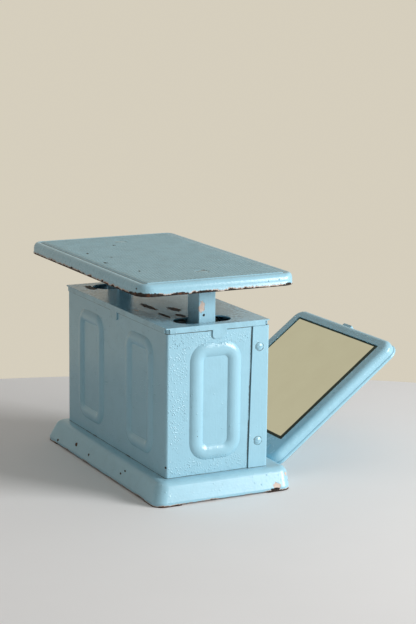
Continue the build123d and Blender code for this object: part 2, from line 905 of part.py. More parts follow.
def zero_knob():
    """Ribbed knob below the dial."""
    back = -half_depth - zero_knob_standoff
    front = back - zero_knob_length
    knob = rod(0, zero_z, zero_knob_radius, front, back)
    edge = knob.edges().filter_by(GeomType.CIRCLE).group_by(Axis.Y)[0]
    knob = fillet(edge, knob_round)
    for number in range(knob_ribs):
        angle = 2 * pi * number / knob_ribs
        x = zero_knob_radius * cos(angle)
        z = zero_z + zero_knob_radius * sin(angle)
        knob -= rod(x, z, knob_rib_radius, front - past, back + past)
    return knob - rod(0, zero_z, zero_shaft_radius, back - knob_grip, back + past)


def zero_bush():
    """Bush of the zero shaft, fixed in the cover."""
    bush = rod(0, zero_z, zero_bush_radius, -half_depth, cover_inner + past)
    front = -half_depth - zero_bush_rise
    bush += rod(0, zero_z, zero_bush_radius + zero_bush_flange, front, -half_depth)
    return bush - rod(0, zero_z, zero_shaft_radius + running_gap, front - past, cover_inner + 2 * past)


# Platform

def platform_plate():
    """Pressed tray, open below, with an inward flange and a raised tread."""
    z0 = platform_bottom
    z1 = platform_top
    outer = rounded_slab(platform_width, platform_depth, platform_corner, z0, z1, platform_y)
    outer = fillet(top_edges(outer, z1), platform_round)
    wall = platform_sheet
    inner = rounded_slab(
        platform_width - 2 * wall, platform_depth - 2 * wall, platform_corner - wall,
        z0 + wall, z1 - wall, platform_y)
    inner = fillet(top_edges(inner, z1 - wall), platform_round - wall)
    mouth_width = platform_width - 2 * rim_flange
    mouth_depth = platform_depth - 2 * rim_flange
    mouth = rounded_slab(
        mouth_width, mouth_depth, platform_corner - rim_flange, z0 - past, z0 + wall + past, platform_y)
    tread = rounded_slab(
        platform_width - 2 * tread_inset, platform_depth - 2 * tread_side_inset, tread_corner,
        z1 - wall / 2, z1 + tread_rise, platform_y)
    tray = outer - inner - mouth + tread
    for side in (-1, 1):
        x = side * post_x
        tray -= pillar(x, post_y, rivet_radius, z1 - 2 * wall, z1 + 2 * wall)
        tray -= pillar(x, post_y, dimple_radius + dimple_play, z1, z1 + 2 * wall)
    return tray


def platform_bridge():
    """Channel under the tread that joins the two posts."""
    top = platform_top - platform_sheet
    half = post_x + bridge_overhang
    y0 = post_y - bridge_depth / 2
    y1 = post_y + bridge_depth / 2
    low = platform_bottom + platform_sheet
    piece = block(-half, half, y0, y1, low, top)
    far = half + past
    piece -= block(-far, far, y0 + bridge_wall, y1 - bridge_wall, low - past, top - bridge_wall)
    for side in (-1, 1):
        piece -= pillar(side * post_x, post_y, rivet_radius, top - 2 * bridge_wall, top + past)
    return piece


def post(side):
    """Folded channel leg with a cap at its top, open towards the middle."""
    top = platform_top - platform_sheet - bridge_wall
    bottom = post_foot_bottom + foot_plate
    x0 = side * post_x - post_width / 2
    x1 = side * post_x + post_width / 2
    y0 = post_y - post_depth / 2
    y1 = post_y + post_depth / 2
    leg = block(x0, x1, y0, y1, bottom, top)
    edges = leg.edges().filter_by(Axis.Z)
    leg = fillet(edges, post_wall / 2)
    hollow_near = x0 - past if side > 0 else x0 + post_wall
    hollow_far = x1 - post_wall if side > 0 else x1 + past
    leg -= block(hollow_near, hollow_far, y0 + post_wall, y1 - post_wall, bottom - past, top - post_wall)
    return leg - pillar(side * post_x, post_y, rivet_radius, top - 2 * post_wall, top + past)


def post_feet():
    """Plates at the lower ends of the posts, which press on the levers' rollers."""
    x0 = post_x - post_width / 2 + foot_plate_inset
    x1 = post_x + post_width / 2 - foot_plate_inset
    y0 = post_y - post_depth / 2
    y1 = post_y + post_depth / 2
    foot = block(x0, x1, y0, y1, post_foot_bottom, post_foot_bottom + foot_plate)
    return both_sides(foot)


def post_rivets():
    """Rivets through the platform, the bridge and the post caps, domed up to the tread's level."""
    bottom = platform_top - platform_sheet - bridge_wall - post_wall
    head = Pos(post_x, post_y, platform_top) * domed_head(dimple_radius, tread_rise)
    shank = pillar(post_x, post_y, rivet_radius, bottom, platform_top)
    tail = pillar(post_x, post_y, rivet_tail_radius, bottom - rivet_tail, bottom)
    return both_sides(head + shank + tail)


# Mirror, drawn in its own plane: X across, Y up the mirror, Z out of the glass

def mirror_slab(width, bottom, top, corner, z0, z1):
    """Rounded slab in the mirror's own plane."""
    outline = Pos(0, (bottom + top) / 2, z0) * RectangleRounded(width, top - bottom, corner)
    return extrude(outline, z1 - z0)


def mirror_frame():
    """Pressed frame with a rounded front edge, side walls and a rolled back edge."""
    front = -glass_behind_axis
    back = front - mirror_depth
    low = mirror_bottom
    high = mirror_above_hinge
    outer = mirror_slab(mirror_width, low, high, mirror_corner, back, front)
    outer = fillet(top_edges(outer, front), mirror_round)
    inner = mirror_slab(
        mirror_width - 2 * sheet, low + sheet, high - sheet, mirror_corner - sheet,
        back - past, front - sheet)
    inner = fillet(top_edges(inner, front - sheet), mirror_round - sheet)
    frame = outer - inner
    view_top = view_above_hinge + view_height
    frame -= mirror_slab(view_width, view_above_hinge, view_top, view_corner, front - 2 * sheet, front + past)
    path_face = Pos(0, (low + high) / 2, back + mirror_bead) * RectangleRounded(
        mirror_width - sheet, high - low - sheet, mirror_corner - sheet / 2)
    path = path_face.wire()
    start = Plane(origin=path @ 0, x_dir=(0, 0, 1), z_dir=path % 0)
    frame += sweep(start * Circle(mirror_bead), path=path)
    return placed(frame, mirror_place)


def mirror_glass():
    """Flat silvered glass, seated behind the frame's border."""
    top = -glass_behind_axis - sheet
    low = view_above_hinge - mirror_glass_lap
    high = view_above_hinge + view_height + mirror_glass_lap
    width = view_width + 2 * mirror_glass_lap
    glass = mirror_slab(width, low, high, view_corner, top - mirror_glass_thickness, top)
    return placed(glass, mirror_place)


def mirror_packing():
    """Card between the glass and the back sheet."""
    top = -glass_behind_axis - sheet - mirror_glass_thickness
    low = view_above_hinge - mirror_glass_lap
    high = view_above_hinge + view_height + mirror_glass_lap
    width = view_width + 2 * mirror_glass_lap
    card = mirror_slab(width, low, high, view_corner, top - packing_thickness, top)
    return placed(card, mirror_place)


def mirror_back():
    """Flat back sheet held by the rolled edge, with a raised panel that bears on the packing."""
    back = -glass_behind_axis - mirror_depth + mirror_bead
    margin = sheet + mirror_bead
    low = mirror_bottom + margin
    high = mirror_above_hinge - margin
    panel = mirror_slab(
        mirror_width - 2 * margin, low, high, mirror_corner - margin, back, back + mirror_back_sheet)
    seat_low = view_above_hinge
    seat_high = view_above_hinge + view_height
    packing_back = -glass_behind_axis - sheet - mirror_glass_thickness - packing_thickness
    seat = mirror_slab(view_width, seat_low, seat_high, mirror_corner, back, packing_back)
    hollow = mirror_slab(
        view_width - 2 * sheet, seat_low + sheet, seat_high - sheet, mirror_corner - sheet,
        back - past, packing_back - sheet)
    return placed(panel + seat - hollow, mirror_place)


def mirror_pull():
    """Finger tab on the top wall of the frame."""
    back = -glass_behind_axis - mirror_depth + pull_from_back
    high = mirror_above_hinge
    tab = block(-pull_width / 2, pull_width / 2, high, high + pull_rise, back, back + pull_thickness)
    edges = tab.edges().filter_by(Axis.Z).group_by(Axis.Y)[-1]
    return placed(fillet(edges, pull_round), mirror_place)


def hinge_knuckle(x0, x1):
    """Rolled tube round the hinge axis, in the mirror's own frame."""
    return pin(0, 0, hinge_knuckle_radius, x0, x1)


def fixed_hinge_leaves():
    """Leaves on the front ledge, each with two outer knuckles."""
    half = hinge_width / 2
    third = hinge_width / 4
    leaves = []
    for side in (-1, 1):
        x = side * hinge_x
        y_end = hinge_y + hinge_leaf_length
        low = plinth_height
        leaf = block(x - half, x + half, hinge_y, y_end, low, low + hinge_strap)
        leaf += pin(hinge_y, hinge_z, hinge_knuckle_radius, x - half, x + half)
        reach = hinge_knuckle_radius + flat_gap
        leaf -= block(x - third, x + third, hinge_y - reach, hinge_y + reach, low - reach, hinge_z + reach)
        leaf -= pin(hinge_y, hinge_z, hinge_pin_radius, x - half - past, x + half + past)
        for offset in (-hinge_rivet_pitch / 2, hinge_rivet_pitch / 2):
            y = y_end - hinge_rivet_inset
            leaf -= pillar(x + offset, y, hinge_rivet_radius, low - past, low + 2 * hinge_strap)
        leaves.append(leaf)
    return leaves


def moving_hinge_leaves():
    """Leaves on the front of the mirror frame, each with one middle knuckle."""
    third = hinge_width / 4 - flat_gap
    half = hinge_width / 2
    front = -glass_behind_axis
    leaves = []
    for side in (-1, 1):
        x = side * hinge_x
        start = hinge_knuckle_radius + 2 * flat_gap
        leaf = block(x - half, x + half, start, hinge_moving_leaf, front, front + hinge_strap)
        leaf += block(x - third, x + third, 0, start, front + running_gap, front + hinge_strap)
        leaf += hinge_knuckle(x - third, x + third)
        leaf -= pin(0, 0, hinge_pin_radius + running_gap, x - half, x + half)
        for offset in (-hinge_rivet_pitch / 2, hinge_rivet_pitch / 2):
            y = hinge_moving_leaf - hinge_rivet_inset
            leaf -= pillar(x + offset, y, hinge_rivet_radius, front - past, front + 2 * hinge_strap)
        leaves.extend(placed(leaf, mirror_place))
    return leaves


def hinge_pins():
    """Pins fixed in the outer knuckles."""
    half = hinge_width / 2 + hinge_pin_past
    pins = []
    for side in (-1, 1):
        x = side * hinge_x
        pins.append(pin(hinge_y, hinge_z, hinge_pin_radius, x - half, x + half))
    return pins


def rivet(x, y, seat, depth):
    """Domed rivet along Z with its head above the seat."""
    head = Pos(x, y, seat) * domed_head(hinge_rivet_head, hinge_rivet_rise)
    return head + pillar(x, y, hinge_rivet_radius, seat - depth, seat)


def ledge_rivets():
    """Rivets through the fixed leaves."""
    rivets = []
    for side in (-1, 1):
        for offset in (-hinge_rivet_pitch / 2, hinge_rivet_pitch / 2):
            x = side * hinge_x + offset
            y = hinge_y + hinge_leaf_length - hinge_rivet_inset
            rivets.append(rivet(x, y, plinth_height + hinge_strap, hinge_strap))
    return rivets


def frame_rivets():
    """Rivets through the moving leaves."""
    rivets = []
    for side in (-1, 1):
        for offset in (-hinge_rivet_pitch / 2, hinge_rivet_pitch / 2):
            x = side * hinge_x + offset
            seat = -glass_behind_axis + hinge_strap
            y = hinge_moving_leaf - hinge_rivet_inset
            rivets.extend(placed(rivet(x, y, seat, hinge_strap), mirror_place))
    return rivets


def main():
    """Write every piece and print the travels that the joints use."""
    os.makedirs("parts", exist_ok=True)
    save("base_plinth", base_plinth())
    save("body_shell", body_shell())
    save("front_cover", front_cover())
    save("cover_screws", cover_screws())
    save("lid", lid())
    save("dial_bezel", dial_bezel())
    save("dial_glass", dial_glass())
    save("glass_retainer", glass_retainer())
    for name, side in (("left", -1), ("right", 1)):
        save("lever_bracket_" + name, lever_bracket(side))
        save("fulcrum_pin_" + name, fulcrum_pin(side))
        save("lever_" + name, lever(side))
        save("post_" + name, post(side))
    save("draw_stirrup", draw_stirrup())
    save("rack", rack())
    save("pinion", pinion())
    save("main_spring", main_spring())
    save("spring_hanger", spring_hanger())
    save("hanger_nut", hanger_nut())
    save("spring_anchor", spring_anchor())
    save("mechanism_frame", mechanism_frame())
    save("frame_screws", frame_screws())
    save("rear_plate", rear_plate())
    save("front_plate", front_plate())
    save("movement_spacers", movement_spacers())
    save("movement_pillars", movement_pillars())
    save("rear_bush", rear_bush())
    save("front_bush", front_bush())
    save("spindle", spindle())
    save("pointer", pointer())
    save("pointer_hub", pointer_hub())
    save("dial_plate", dial_plate())
    save("zero_wheel", zero_wheel())
    save("zero_shaft", zero_shaft())
    save("zero_knob", zero_knob())
    save("zero_bush", zero_bush())
    save("platform_plate", platform_plate())
    save("platform_bridge", platform_bridge())
    save("post_feet", post_feet())
    save("post_rivets", post_rivets())
    save("mirror_frame", mirror_frame())
    save("mirror_glass", mirror_glass())
    save("mirror_packing", mirror_packing())
    save("mirror_back", mirror_back())
    save("mirror_pull", mirror_pull())
    save("fixed_hinge_leaves", fixed_hinge_leaves())
    save("moving_hinge_leaves", moving_hinge_leaves())
    save("hinge_pins", hinge_pins())
    save("ledge_rivets", ledge_rivets())
    save("frame_rivets", frame_rivets())
    lever_angle = degrees(platform_travel / load_arm)
    closed_top = hinge_z + mirror_above_hinge
    print("platform travel", round(platform_travel, 4), "rack travel", round(rack_travel, 4))
    print("lever ratio", round(load_ratio, 5), "lever angle", round(lever_angle, 3))
    print("fulcrum x", round(fulcrum_x, 3), "load arm", round(load_arm, 3))
    print("hinge", round(hinge_y, 3), round(hinge_z, 3), "closed mirror top", round(closed_top, 2))
    print("gap of closed mirror to platform", round(platform_front - hinge_y + glass_behind_axis, 2))
    print("shortest reach of the plinth edge", round(hypot(edge_centre.Y, edge_centre.Z) - plinth_round, 2))
    print("moved along Y by", round(centring.position.Y, 4))
    print("zero axis height", round(zero_z, 3), "spring", round(spring_bottom, 2), round(spring_top, 2))


main()
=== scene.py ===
"""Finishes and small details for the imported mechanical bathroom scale."""

from math import cos, pi, radians, sin

import bmesh
import bpy
from mathutils import Matrix, Vector


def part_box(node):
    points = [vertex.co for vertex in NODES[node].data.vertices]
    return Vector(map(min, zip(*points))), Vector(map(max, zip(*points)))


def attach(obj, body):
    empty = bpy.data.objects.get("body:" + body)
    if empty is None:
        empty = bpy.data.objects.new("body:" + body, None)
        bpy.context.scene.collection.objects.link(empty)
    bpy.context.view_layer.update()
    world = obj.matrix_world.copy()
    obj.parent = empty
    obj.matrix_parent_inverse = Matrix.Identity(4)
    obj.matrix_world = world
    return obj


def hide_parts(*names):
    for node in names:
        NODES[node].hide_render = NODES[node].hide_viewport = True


bl_info = {
    "name": "Mechanical Bathroom Scale",
    "version": (1, 0, 0),
    "blender": (4, 5, 0),
    "location": "View3D > Sidebar > Scale",
    "description": "Dresses a platform scale with chipped enamel, a knurled tread and a mirror-read dial",
    "category": "Object",
}

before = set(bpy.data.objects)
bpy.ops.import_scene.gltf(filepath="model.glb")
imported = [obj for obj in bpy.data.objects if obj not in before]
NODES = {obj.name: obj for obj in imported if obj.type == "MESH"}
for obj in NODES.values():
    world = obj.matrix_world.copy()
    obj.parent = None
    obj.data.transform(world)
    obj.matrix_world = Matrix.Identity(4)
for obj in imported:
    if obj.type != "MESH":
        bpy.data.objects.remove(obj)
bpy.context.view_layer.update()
MM = 0.001

PLATE_LOW, PLATE_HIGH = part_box("platform_plate")
DIAL_LOW, DIAL_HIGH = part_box("dial_plate")
CASE_LOW, CASE_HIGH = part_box("lid")
CASE_Y = (CASE_LOW.y + CASE_HIGH.y) / 2


# Sizes and colours

class ScaleFinish(bpy.types.PropertyGroup):
    """Colours of the paint and of what shows where it is gone."""

    enamel: bpy.props.FloatVectorProperty(
        name="Enamel", description="Gloss enamel on the case", subtype="COLOR", size=3,
        default=(0.31, 0.55, 0.66), min=0.0, max=1.0)
    tread_enamel: bpy.props.FloatVectorProperty(
        name="Tread enamel", description="Rubbed enamel on the tread", subtype="COLOR", size=3,
        default=(0.25, 0.42, 0.48), min=0.0, max=1.0)
    primer: bpy.props.FloatVectorProperty(
        name="Primer", description="Old pink undercoat in the shallow chips", subtype="COLOR", size=3,
        default=(0.50, 0.37, 0.30), min=0.0, max=1.0)
    rust: bpy.props.FloatVectorProperty(
        name="Rust", description="Rust in the deep chips", subtype="COLOR", size=3,
        default=(0.10, 0.035, 0.015), min=0.0, max=1.0)
    dial_cream: bpy.props.FloatVectorProperty(
        name="Dial cream", description="Enamel of the dial", subtype="COLOR", size=3,
        default=(0.78, 0.74, 0.62), min=0.0, max=1.0)
    silver: bpy.props.FloatVectorProperty(
        name="Old silvering", description="Tint of the mirror", subtype="COLOR", size=3,
        default=(0.70, 0.71, 0.57), min=0.0, max=1.0)


class ScaleTread(bpy.types.PropertyGroup):
    """Rim, groove and diamond pattern of the platform."""

    pitch: bpy.props.FloatProperty(
        name="Pitch", description="Width of one diamond", default=4.15 * MM, unit="LENGTH", min=0.001)
    rise: bpy.props.FloatProperty(
        name="Rise", description="Height of a diamond above its valley", default=0.55 * MM, unit="LENGTH")
    end_inset: bpy.props.FloatProperty(
        name="End inset", description="From the platform's ends to the pad", default=9.7 * MM, unit="LENGTH")
    side_inset: bpy.props.FloatProperty(
        name="Side inset", description="From the platform's long sides to the pad", default=11.8 * MM,
        unit="LENGTH")
    corner: bpy.props.FloatProperty(
        name="Corner", description="Corner radius of the platform", default=15.0 * MM, unit="LENGTH")
    dimple: bpy.props.FloatProperty(
        name="Dimple", description="Radius of the hollow round a rivet", default=6.3 * MM, unit="LENGTH")
    dimple_depth: bpy.props.FloatProperty(
        name="Dimple depth", description="From the diamonds' tips to the hollow's bottom",
        default=0.78 * MM, unit="LENGTH")
    dimple_edge: bpy.props.FloatProperty(
        name="Dimple edge", description="Width of the slope round a hollow", default=0.7 * MM,
        unit="LENGTH", min=0.0001)


class ScaleDial(bpy.types.PropertyGroup):
    """Figures and strokes on the dial, laid out for reading in the mirror."""

    capacity: bpy.props.IntProperty(
        name="Capacity", description="Largest weight on the dial, in kilograms", default=130, min=10)
    sweep: bpy.props.FloatProperty(
        name="Sweep", description="Angle from zero to capacity", default=radians(330.0), subtype="ANGLE")
    outer: bpy.props.FloatProperty(
        name="Stroke radius", description="Outer end of the strokes", default=45.5 * MM, unit="LENGTH")
    figure_radius: bpy.props.FloatProperty(
        name="Figure radius", description="Centres of the figures", default=35.0 * MM, unit="LENGTH")
    figure_size: bpy.props.FloatProperty(
        name="Figure size", description="Height of the figures", default=7.0 * MM, unit="LENGTH")


# Strokes on the dial: every so many kilograms, length and width in millimetres
STROKES = ((10, 6.0, 0.55), (5, 4.5, 0.3), (1, 3.0, 0.3))


class ScaleStage(bpy.types.PropertyGroup):
    """Camera, wall and floor."""

    azimuth: bpy.props.FloatProperty(
        name="Azimuth", description="Heading of the camera's view from +Y", default=radians(242.66),
        subtype="ANGLE")
    elevation: bpy.props.FloatProperty(
        name="Elevation", description="How far the view looks down", default=radians(11.603), subtype="ANGLE")
    roll: bpy.props.FloatProperty(
        name="Roll", description="Turn about the view", default=radians(0.683), subtype="ANGLE")
    place: bpy.props.FloatVectorProperty(
        name="Place", description="Camera position", size=3, subtype="TRANSLATION",
        default=(-1.5517, 0.8183, 0.5118))
    lens: bpy.props.FloatProperty(
        name="Lens", description="Focal length on a 36 mm frame, in millimetres", default=100.85, min=1.0)
    wall: bpy.props.FloatVectorProperty(
        name="Wall", description="Warm wall behind the scale", subtype="COLOR", size=3,
        default=(0.67, 0.62, 0.51), min=0.0, max=1.0)
    floor_colour: bpy.props.FloatVectorProperty(
        name="Floor", description="Pale floor", subtype="COLOR", size=3, default=(0.84, 0.83, 0.82),
        min=0.0, max=1.0)
    floor_radius: bpy.props.FloatProperty(
        name="Floor radius", description="Radius of the round floor", default=1.15, unit="LENGTH", min=0.2)
    floor_shift: bpy.props.FloatProperty(
        name="Floor shift", description="From the scale to the floor's middle, toward the camera",
        default=0.80, unit="LENGTH")
    floor_drop: bpy.props.FloatProperty(
        name="Floor drop", description="Gap below the feet, so that no faces coincide",
        default=0.2 * MM, unit="LENGTH")


# Node tools

def node(tree, kind, settings=None, inputs=None):
    """Adds a node, sets its own settings, and links or sets its inputs."""
    made = tree.nodes.new(kind)
    for key, value in (settings or {}).items():
        setattr(made, key, value)
    for key, value in (inputs or {}).items():
        if isinstance(value, bpy.types.NodeSocket):
            tree.links.new(value, made.inputs[key])
        else:
            made.inputs[key].default_value = value
    return made


def calc(tree, operation, first, second=0.0):
    """One Math node, as its output."""
    return node(tree, "ShaderNodeMath", {"operation": operation}, {0: first, 1: second}).outputs[0]


def add_part(tree, base, value, part):
    """Base plus a part of a value, as an output."""
    inputs = {0: value, 1: part, 2: base}
    return node(tree, "ShaderNodeMath", {"operation": "MULTIPLY_ADD"}, inputs).outputs[0]


def vector_math(tree, operation, first, second):
    """One Vector Math node, as its outputs."""
    return node(tree, "ShaderNodeVectorMath", {"operation": operation}, {0: first, 1: second}).outputs


def mix(tree, factor, first, second):
    """Colour mix, as its output. The node's colour sockets are inputs 6 and 7 and output 2."""
    inputs = {0: factor, 6: first, 7: second}
    return node(tree, "ShaderNodeMix", {"data_type": "RGBA"}, inputs).outputs[2]


def largest(tree, values):
    """Largest of some values, as an output, or None where there are none."""
    most = None
    for value in values:
        most = value if most is None else calc(tree, "MAXIMUM", most, value)
    return most


def brightened(tree, colour, value):
    """Colour with its brightness scaled, as an output."""
    return node(tree, "ShaderNodeHueSaturation", None, {"Value": value, "Color": colour}).outputs[0]


def axes(tree, vector):
    """X, Y and Z of a vector, as outputs."""
    return node(tree, "ShaderNodeSeparateXYZ", None, {0: vector}).outputs


def span(tree, value, low, high, to_low=0.0, to_high=1.0):
    """Clamped range of a value, as its output."""
    inputs = {"Value": value, "From Min": low, "From Max": high, "To Min": to_low, "To Max": to_high}
    return node(tree, "ShaderNodeMapRange", {"clamp": True}, inputs).outputs[0]


def noise(tree, vector, scale, detail=3.0, rough=0.55):
    """Noise value, as its output."""
    inputs = {"Vector": vector, "Scale": scale, "Detail": detail, "Roughness": rough}
    return node(tree, "ShaderNodeTexNoise", None, inputs).outputs[0]


def stretched(tree, vector, scale):
    """Object coordinates scaled apart, as an output."""
    return node(tree, "ShaderNodeMapping", None, {"Vector": vector, "Scale": scale}).outputs[0]


def rgba(colour):
    """Colour with full alpha."""
    return (*colour, 1.0)


def metres(values):
    """Millimetres to metres."""
    return [value * MM for value in values]


def group(name, inputs, outputs):
    """Empty shader node group with named sockets."""
    tree = bpy.data.node_groups.new(name, "ShaderNodeTree")
    for label, kind, default in inputs:
        made = tree.interface.new_socket(name=label, in_out="INPUT", socket_type=kind)
        made.default_value = default
    for label, kind in outputs:
        tree.interface.new_socket(name=label, in_out="OUTPUT", socket_type=kind)
    return tree, node(tree, "NodeGroupInput").outputs, node(tree, "NodeGroupOutput").inputs


def use(tree, name, inputs):
    """Places a group in a material, as its outputs."""
    return node(tree, "ShaderNodeGroup", {"node_tree": bpy.data.node_groups[name]}, inputs).outputs


# Shared effects

FLOAT = "NodeSocketFloat"
COLOUR = "NodeSocketColor"
VECTOR = "NodeSocketVector"
PLACE = ("Vector", VECTOR, (0.0, 0.0, 0.0))


def build_enamel_group():
    """Gloss paint laid on with a brush over old coats."""
    inputs = [
        PLACE, ("Colour", COLOUR, (0.3, 0.5, 0.6, 1.0)), ("Tone", FLOAT, 0.12),
        ("Strokes", VECTOR, (900.0, 900.0, 26.0)), ("Gloss", FLOAT, 0.26)]
    outputs = [("Colour", COLOUR), ("Roughness", FLOAT), ("Height", FLOAT)]
    tree, have, give = group("Brushed enamel", inputs, outputs)
    vector = have["Vector"]
    cloud = noise(tree, vector, 14.0, 4.0)
    fine = noise(tree, vector, 85.0, 5.0, 0.65)
    shade = add_part(tree, calc(tree, "MULTIPLY", cloud, 0.6), fine, 0.4)
    value = add_part(tree, 1.0, calc(tree, "SUBTRACT", shade, 0.5), have["Tone"])
    tree.links.new(brightened(tree, have["Colour"], value), give["Colour"])
    scaled = vector_math(tree, "MULTIPLY", vector, have["Strokes"])
    strokes = noise(tree, scaled[0], 1.0, 2.0, 0.5)
    peel = noise(tree, vector, 420.0, 2.0, 0.5)
    height = add_part(tree, calc(tree, "MULTIPLY", strokes, 0.35), peel, 0.35)
    tree.links.new(add_part(tree, height, cloud, 0.6), give["Height"])
    tree.links.new(add_part(tree, have["Gloss"], fine, 0.14), give["Roughness"])


def build_blister_group():
    """Blisters, runs and grit trapped in the paint."""
    inputs = [
        PLACE, ("Scale", FLOAT, 420.0), ("Share", FLOAT, 0.35), ("Patches", FLOAT, 22.0),
        ("Cover", FLOAT, 0.48)]
    tree, have, give = group("Paint blisters", inputs, [("Height", FLOAT), ("Pit", FLOAT)])
    vector = have["Vector"]
    warp = node(tree, "ShaderNodeTexNoise", None, {"Vector": vector, "Scale": 260.0, "Detail": 2.0})
    shift = vector_math(tree, "MULTIPLY", warp.outputs[1], (0.0016, 0.0016, 0.0016))
    moved = vector_math(tree, "ADD", vector, shift[0])
    cells = node(tree, "ShaderNodeTexVoronoi", None, {"Vector": moved[0], "Scale": have["Scale"]}).outputs
    dome = span(tree, cells["Distance"], 0.42, 0.05)
    pick = node(tree, "ShaderNodeSeparateColor", None, {"Color": cells["Color"]}).outputs
    chosen = calc(tree, "LESS_THAN", pick[0], have["Share"])
    cloud = noise(tree, vector, have["Patches"], 2.0)
    patch = span(tree, calc(tree, "ADD", cloud, have["Cover"]), 0.9, 1.1)
    size = span(tree, pick[1], 0.0, 1.0, 0.3, 1.0)
    rise = calc(tree, "MULTIPLY", calc(tree, "MULTIPLY", dome, chosen), calc(tree, "MULTIPLY", patch, size))
    tree.links.new(rise, give["Height"])
    pit = calc(tree, "MULTIPLY", span(tree, cells["Distance"], 0.14, 0.08), chosen)
    burst = calc(tree, "GREATER_THAN", pick[2], 0.965)
    tree.links.new(calc(tree, "MULTIPLY", pit, burst), give["Pit"])


def build_chip_group():
    """Ragged patch round a given place: where the paint has come off, where blisters crowd, and where dirt
    and painted shadow lie.
    """
    inputs = [
        PLACE, ("Place", VECTOR, (0.0, 0.0, 0.0)), ("Reach", VECTOR, (0.002, 0.002, 0.002)),
        ("Ragged", FLOAT, 1.7)]
    tree, have, give = group("Ragged mask", inputs, [("Mask", FLOAT)])
    away = vector_math(tree, "SUBTRACT", have["Vector"], have["Place"])
    part = vector_math(tree, "DIVIDE", away[0], have["Reach"])
    length = vector_math(tree, "LENGTH", part[0], (0.0, 0.0, 0.0))["Value"]
    torn = calc(tree, "SUBTRACT", noise(tree, have["Vector"], 330.0, 5.0, 0.62), 0.5)
    edge = add_part(tree, length, torn, have["Ragged"])
    tree.links.new(span(tree, edge, 1.0, 0.93), give["Mask"])


def build_edge_loss_group():
    """Paint lost along a horizontal edge, in runs of uneven depth."""
    inputs = [
        PLACE, ("Level", FLOAT, 0.0), ("Depth", FLOAT, 0.003), ("Runs", FLOAT, 60.0),
        ("Amount", FLOAT, 0.5)]
    tree, have, give = group("Edge loss", inputs, [("Mask", FLOAT), ("Primer", FLOAT)])
    height = calc(tree, "SUBTRACT", axes(tree, have["Vector"])[2], have["Level"])
    above = calc(tree, "DIVIDE", height, have["Depth"])
    flat = vector_math(tree, "MULTIPLY", have["Vector"], (1.0, 1.0, 0.35))
    runs = noise(tree, flat[0], have["Runs"], 6.0, 0.7)
    kept = calc(tree, "SUBTRACT", 0.75, have["Amount"])
    reach = calc(tree, "MULTIPLY", calc(tree, "SUBTRACT", runs, kept), 4.0)
    inside = calc(tree, "SUBTRACT", reach, above)
    tree.links.new(span(tree, inside, 0.0, 0.12), give["Mask"])
    tree.links.new(span(tree, inside, -0.45, -0.2), give["Primer"])


def build_bare_steel_group():
    """Rust and dark scale on bare sheet."""
    inputs = [PLACE, ("Rust", COLOUR, (0.1, 0.04, 0.02, 1.0))]
    outputs = [("Colour", COLOUR), ("Roughness", FLOAT)]
    tree, have, give = group("Bare rusty steel", inputs, outputs)
    grain = noise(tree, have["Vector"], 480.0, 6.0, 0.7)
    patch = noise(tree, have["Vector"], 130.0, 3.0, 0.6)
    dark = mix(tree, span(tree, patch, 0.5, 0.68), (0.016, 0.012, 0.010, 1.0), have["Rust"])
    light = mix(tree, span(tree, grain, 0.62, 0.75), dark, (0.42, 0.34, 0.28, 1.0))
    tree.links.new(light, give["Colour"])
    tree.links.new(span(tree, grain, 0.3, 0.7, 0.55, 0.9), give["Roughness"])


def build_metal_grain_group():
    """Drawn or turned metal with fine lines and dull patches."""
    inputs = [
        PLACE, ("Colour", COLOUR, (0.5, 0.5, 0.5, 1.0)), ("Lines", VECTOR, (60.0, 2000.0, 2000.0)),
        ("Dullness", FLOAT, 0.3)]
    outputs = [("Colour", COLOUR), ("Roughness", FLOAT), ("Height", FLOAT)]
    tree, have, give = group("Metal grain", inputs, outputs)
    scaled = vector_math(tree, "MULTIPLY", have["Vector"], have["Lines"])
    lines = noise(tree, scaled[0], 1.0, 2.0, 0.5)
    patch = noise(tree, have["Vector"], 90.0, 4.0, 0.6)
    value = add_part(tree, add_part(tree, 0.62, patch, 0.5), lines, 0.25)
    tree.links.new(brightened(tree, have["Colour"], value), give["Colour"])
    tree.links.new(add_part(tree, have["Dullness"], patch, 0.25), give["Roughness"])
    tree.links.new(lines, give["Height"])


def build_grime_group():
    """Grime in random cloudy patches."""
    inputs = [PLACE, ("Scale", FLOAT, 60.0), ("Amount", FLOAT, 0.3)]
    tree, have, give = group("Grime", inputs, [("Mask", FLOAT)])
    cloud = noise(tree, have["Vector"], have["Scale"], 6.0, 0.65)
    mask = calc(tree, "MULTIPLY", span(tree, cloud, 0.45, 0.75), have["Amount"])
    tree.links.new(mask, give["Mask"])


# Materials

PIT = (0.05, 0.05, 0.04, 1.0)
# Dark colour for dirt and for painted shadow
DIRT_AND_SHADE = (0.045, 0.05, 0.045, 1.0)
METAL_DIRT = (0.06, 0.045, 0.035, 1.0)
PALE_PRIMER = (0.66, 0.57, 0.50, 1.0)
# Dark colour of the painted reflection of the frame's edge in the mirror
FRAME_EDGE_REFLECTION = (0.012, 0.028, 0.022, 1.0)
PAINT_BUMP = 0.22 * MM

# Mirror's lean from upright, and where the four dark lines of painted reflection start on it
MIRROR_LEAN = radians(52.7)
MIRROR_LEFT = -76.3 * MM
MIRROR_LOW = 95.3 * MM
MIRROR_RIGHT = 81.7 * MM
MIRROR_HIGH = 237.4 * MM


def start_material(name):
    """New node material, its tree, its shader and the coordinates from the middle of the case."""
    made = bpy.data.materials.new(name)
    made.use_nodes = True
    tree = made.node_tree
    shader = next(item for item in tree.nodes if item.type == "BSDF_PRINCIPLED")
    place = node(tree, "ShaderNodeTexCoord").outputs["Object"]
    inputs = {"Vector": place, "Location": (0.0, -CASE_Y, 0.0)}
    vector = node(tree, "ShaderNodeMapping", None, inputs).outputs[0]
    return made, tree, shader, vector


def bump(tree, shader, height, distance):
    """Feeds a height to the shader's normal."""
    made = node(tree, "ShaderNodeBump", None, {"Height": height, "Distance": distance, "Strength": 1.0})
    tree.links.new(made.outputs[0], shader.inputs["Normal"])


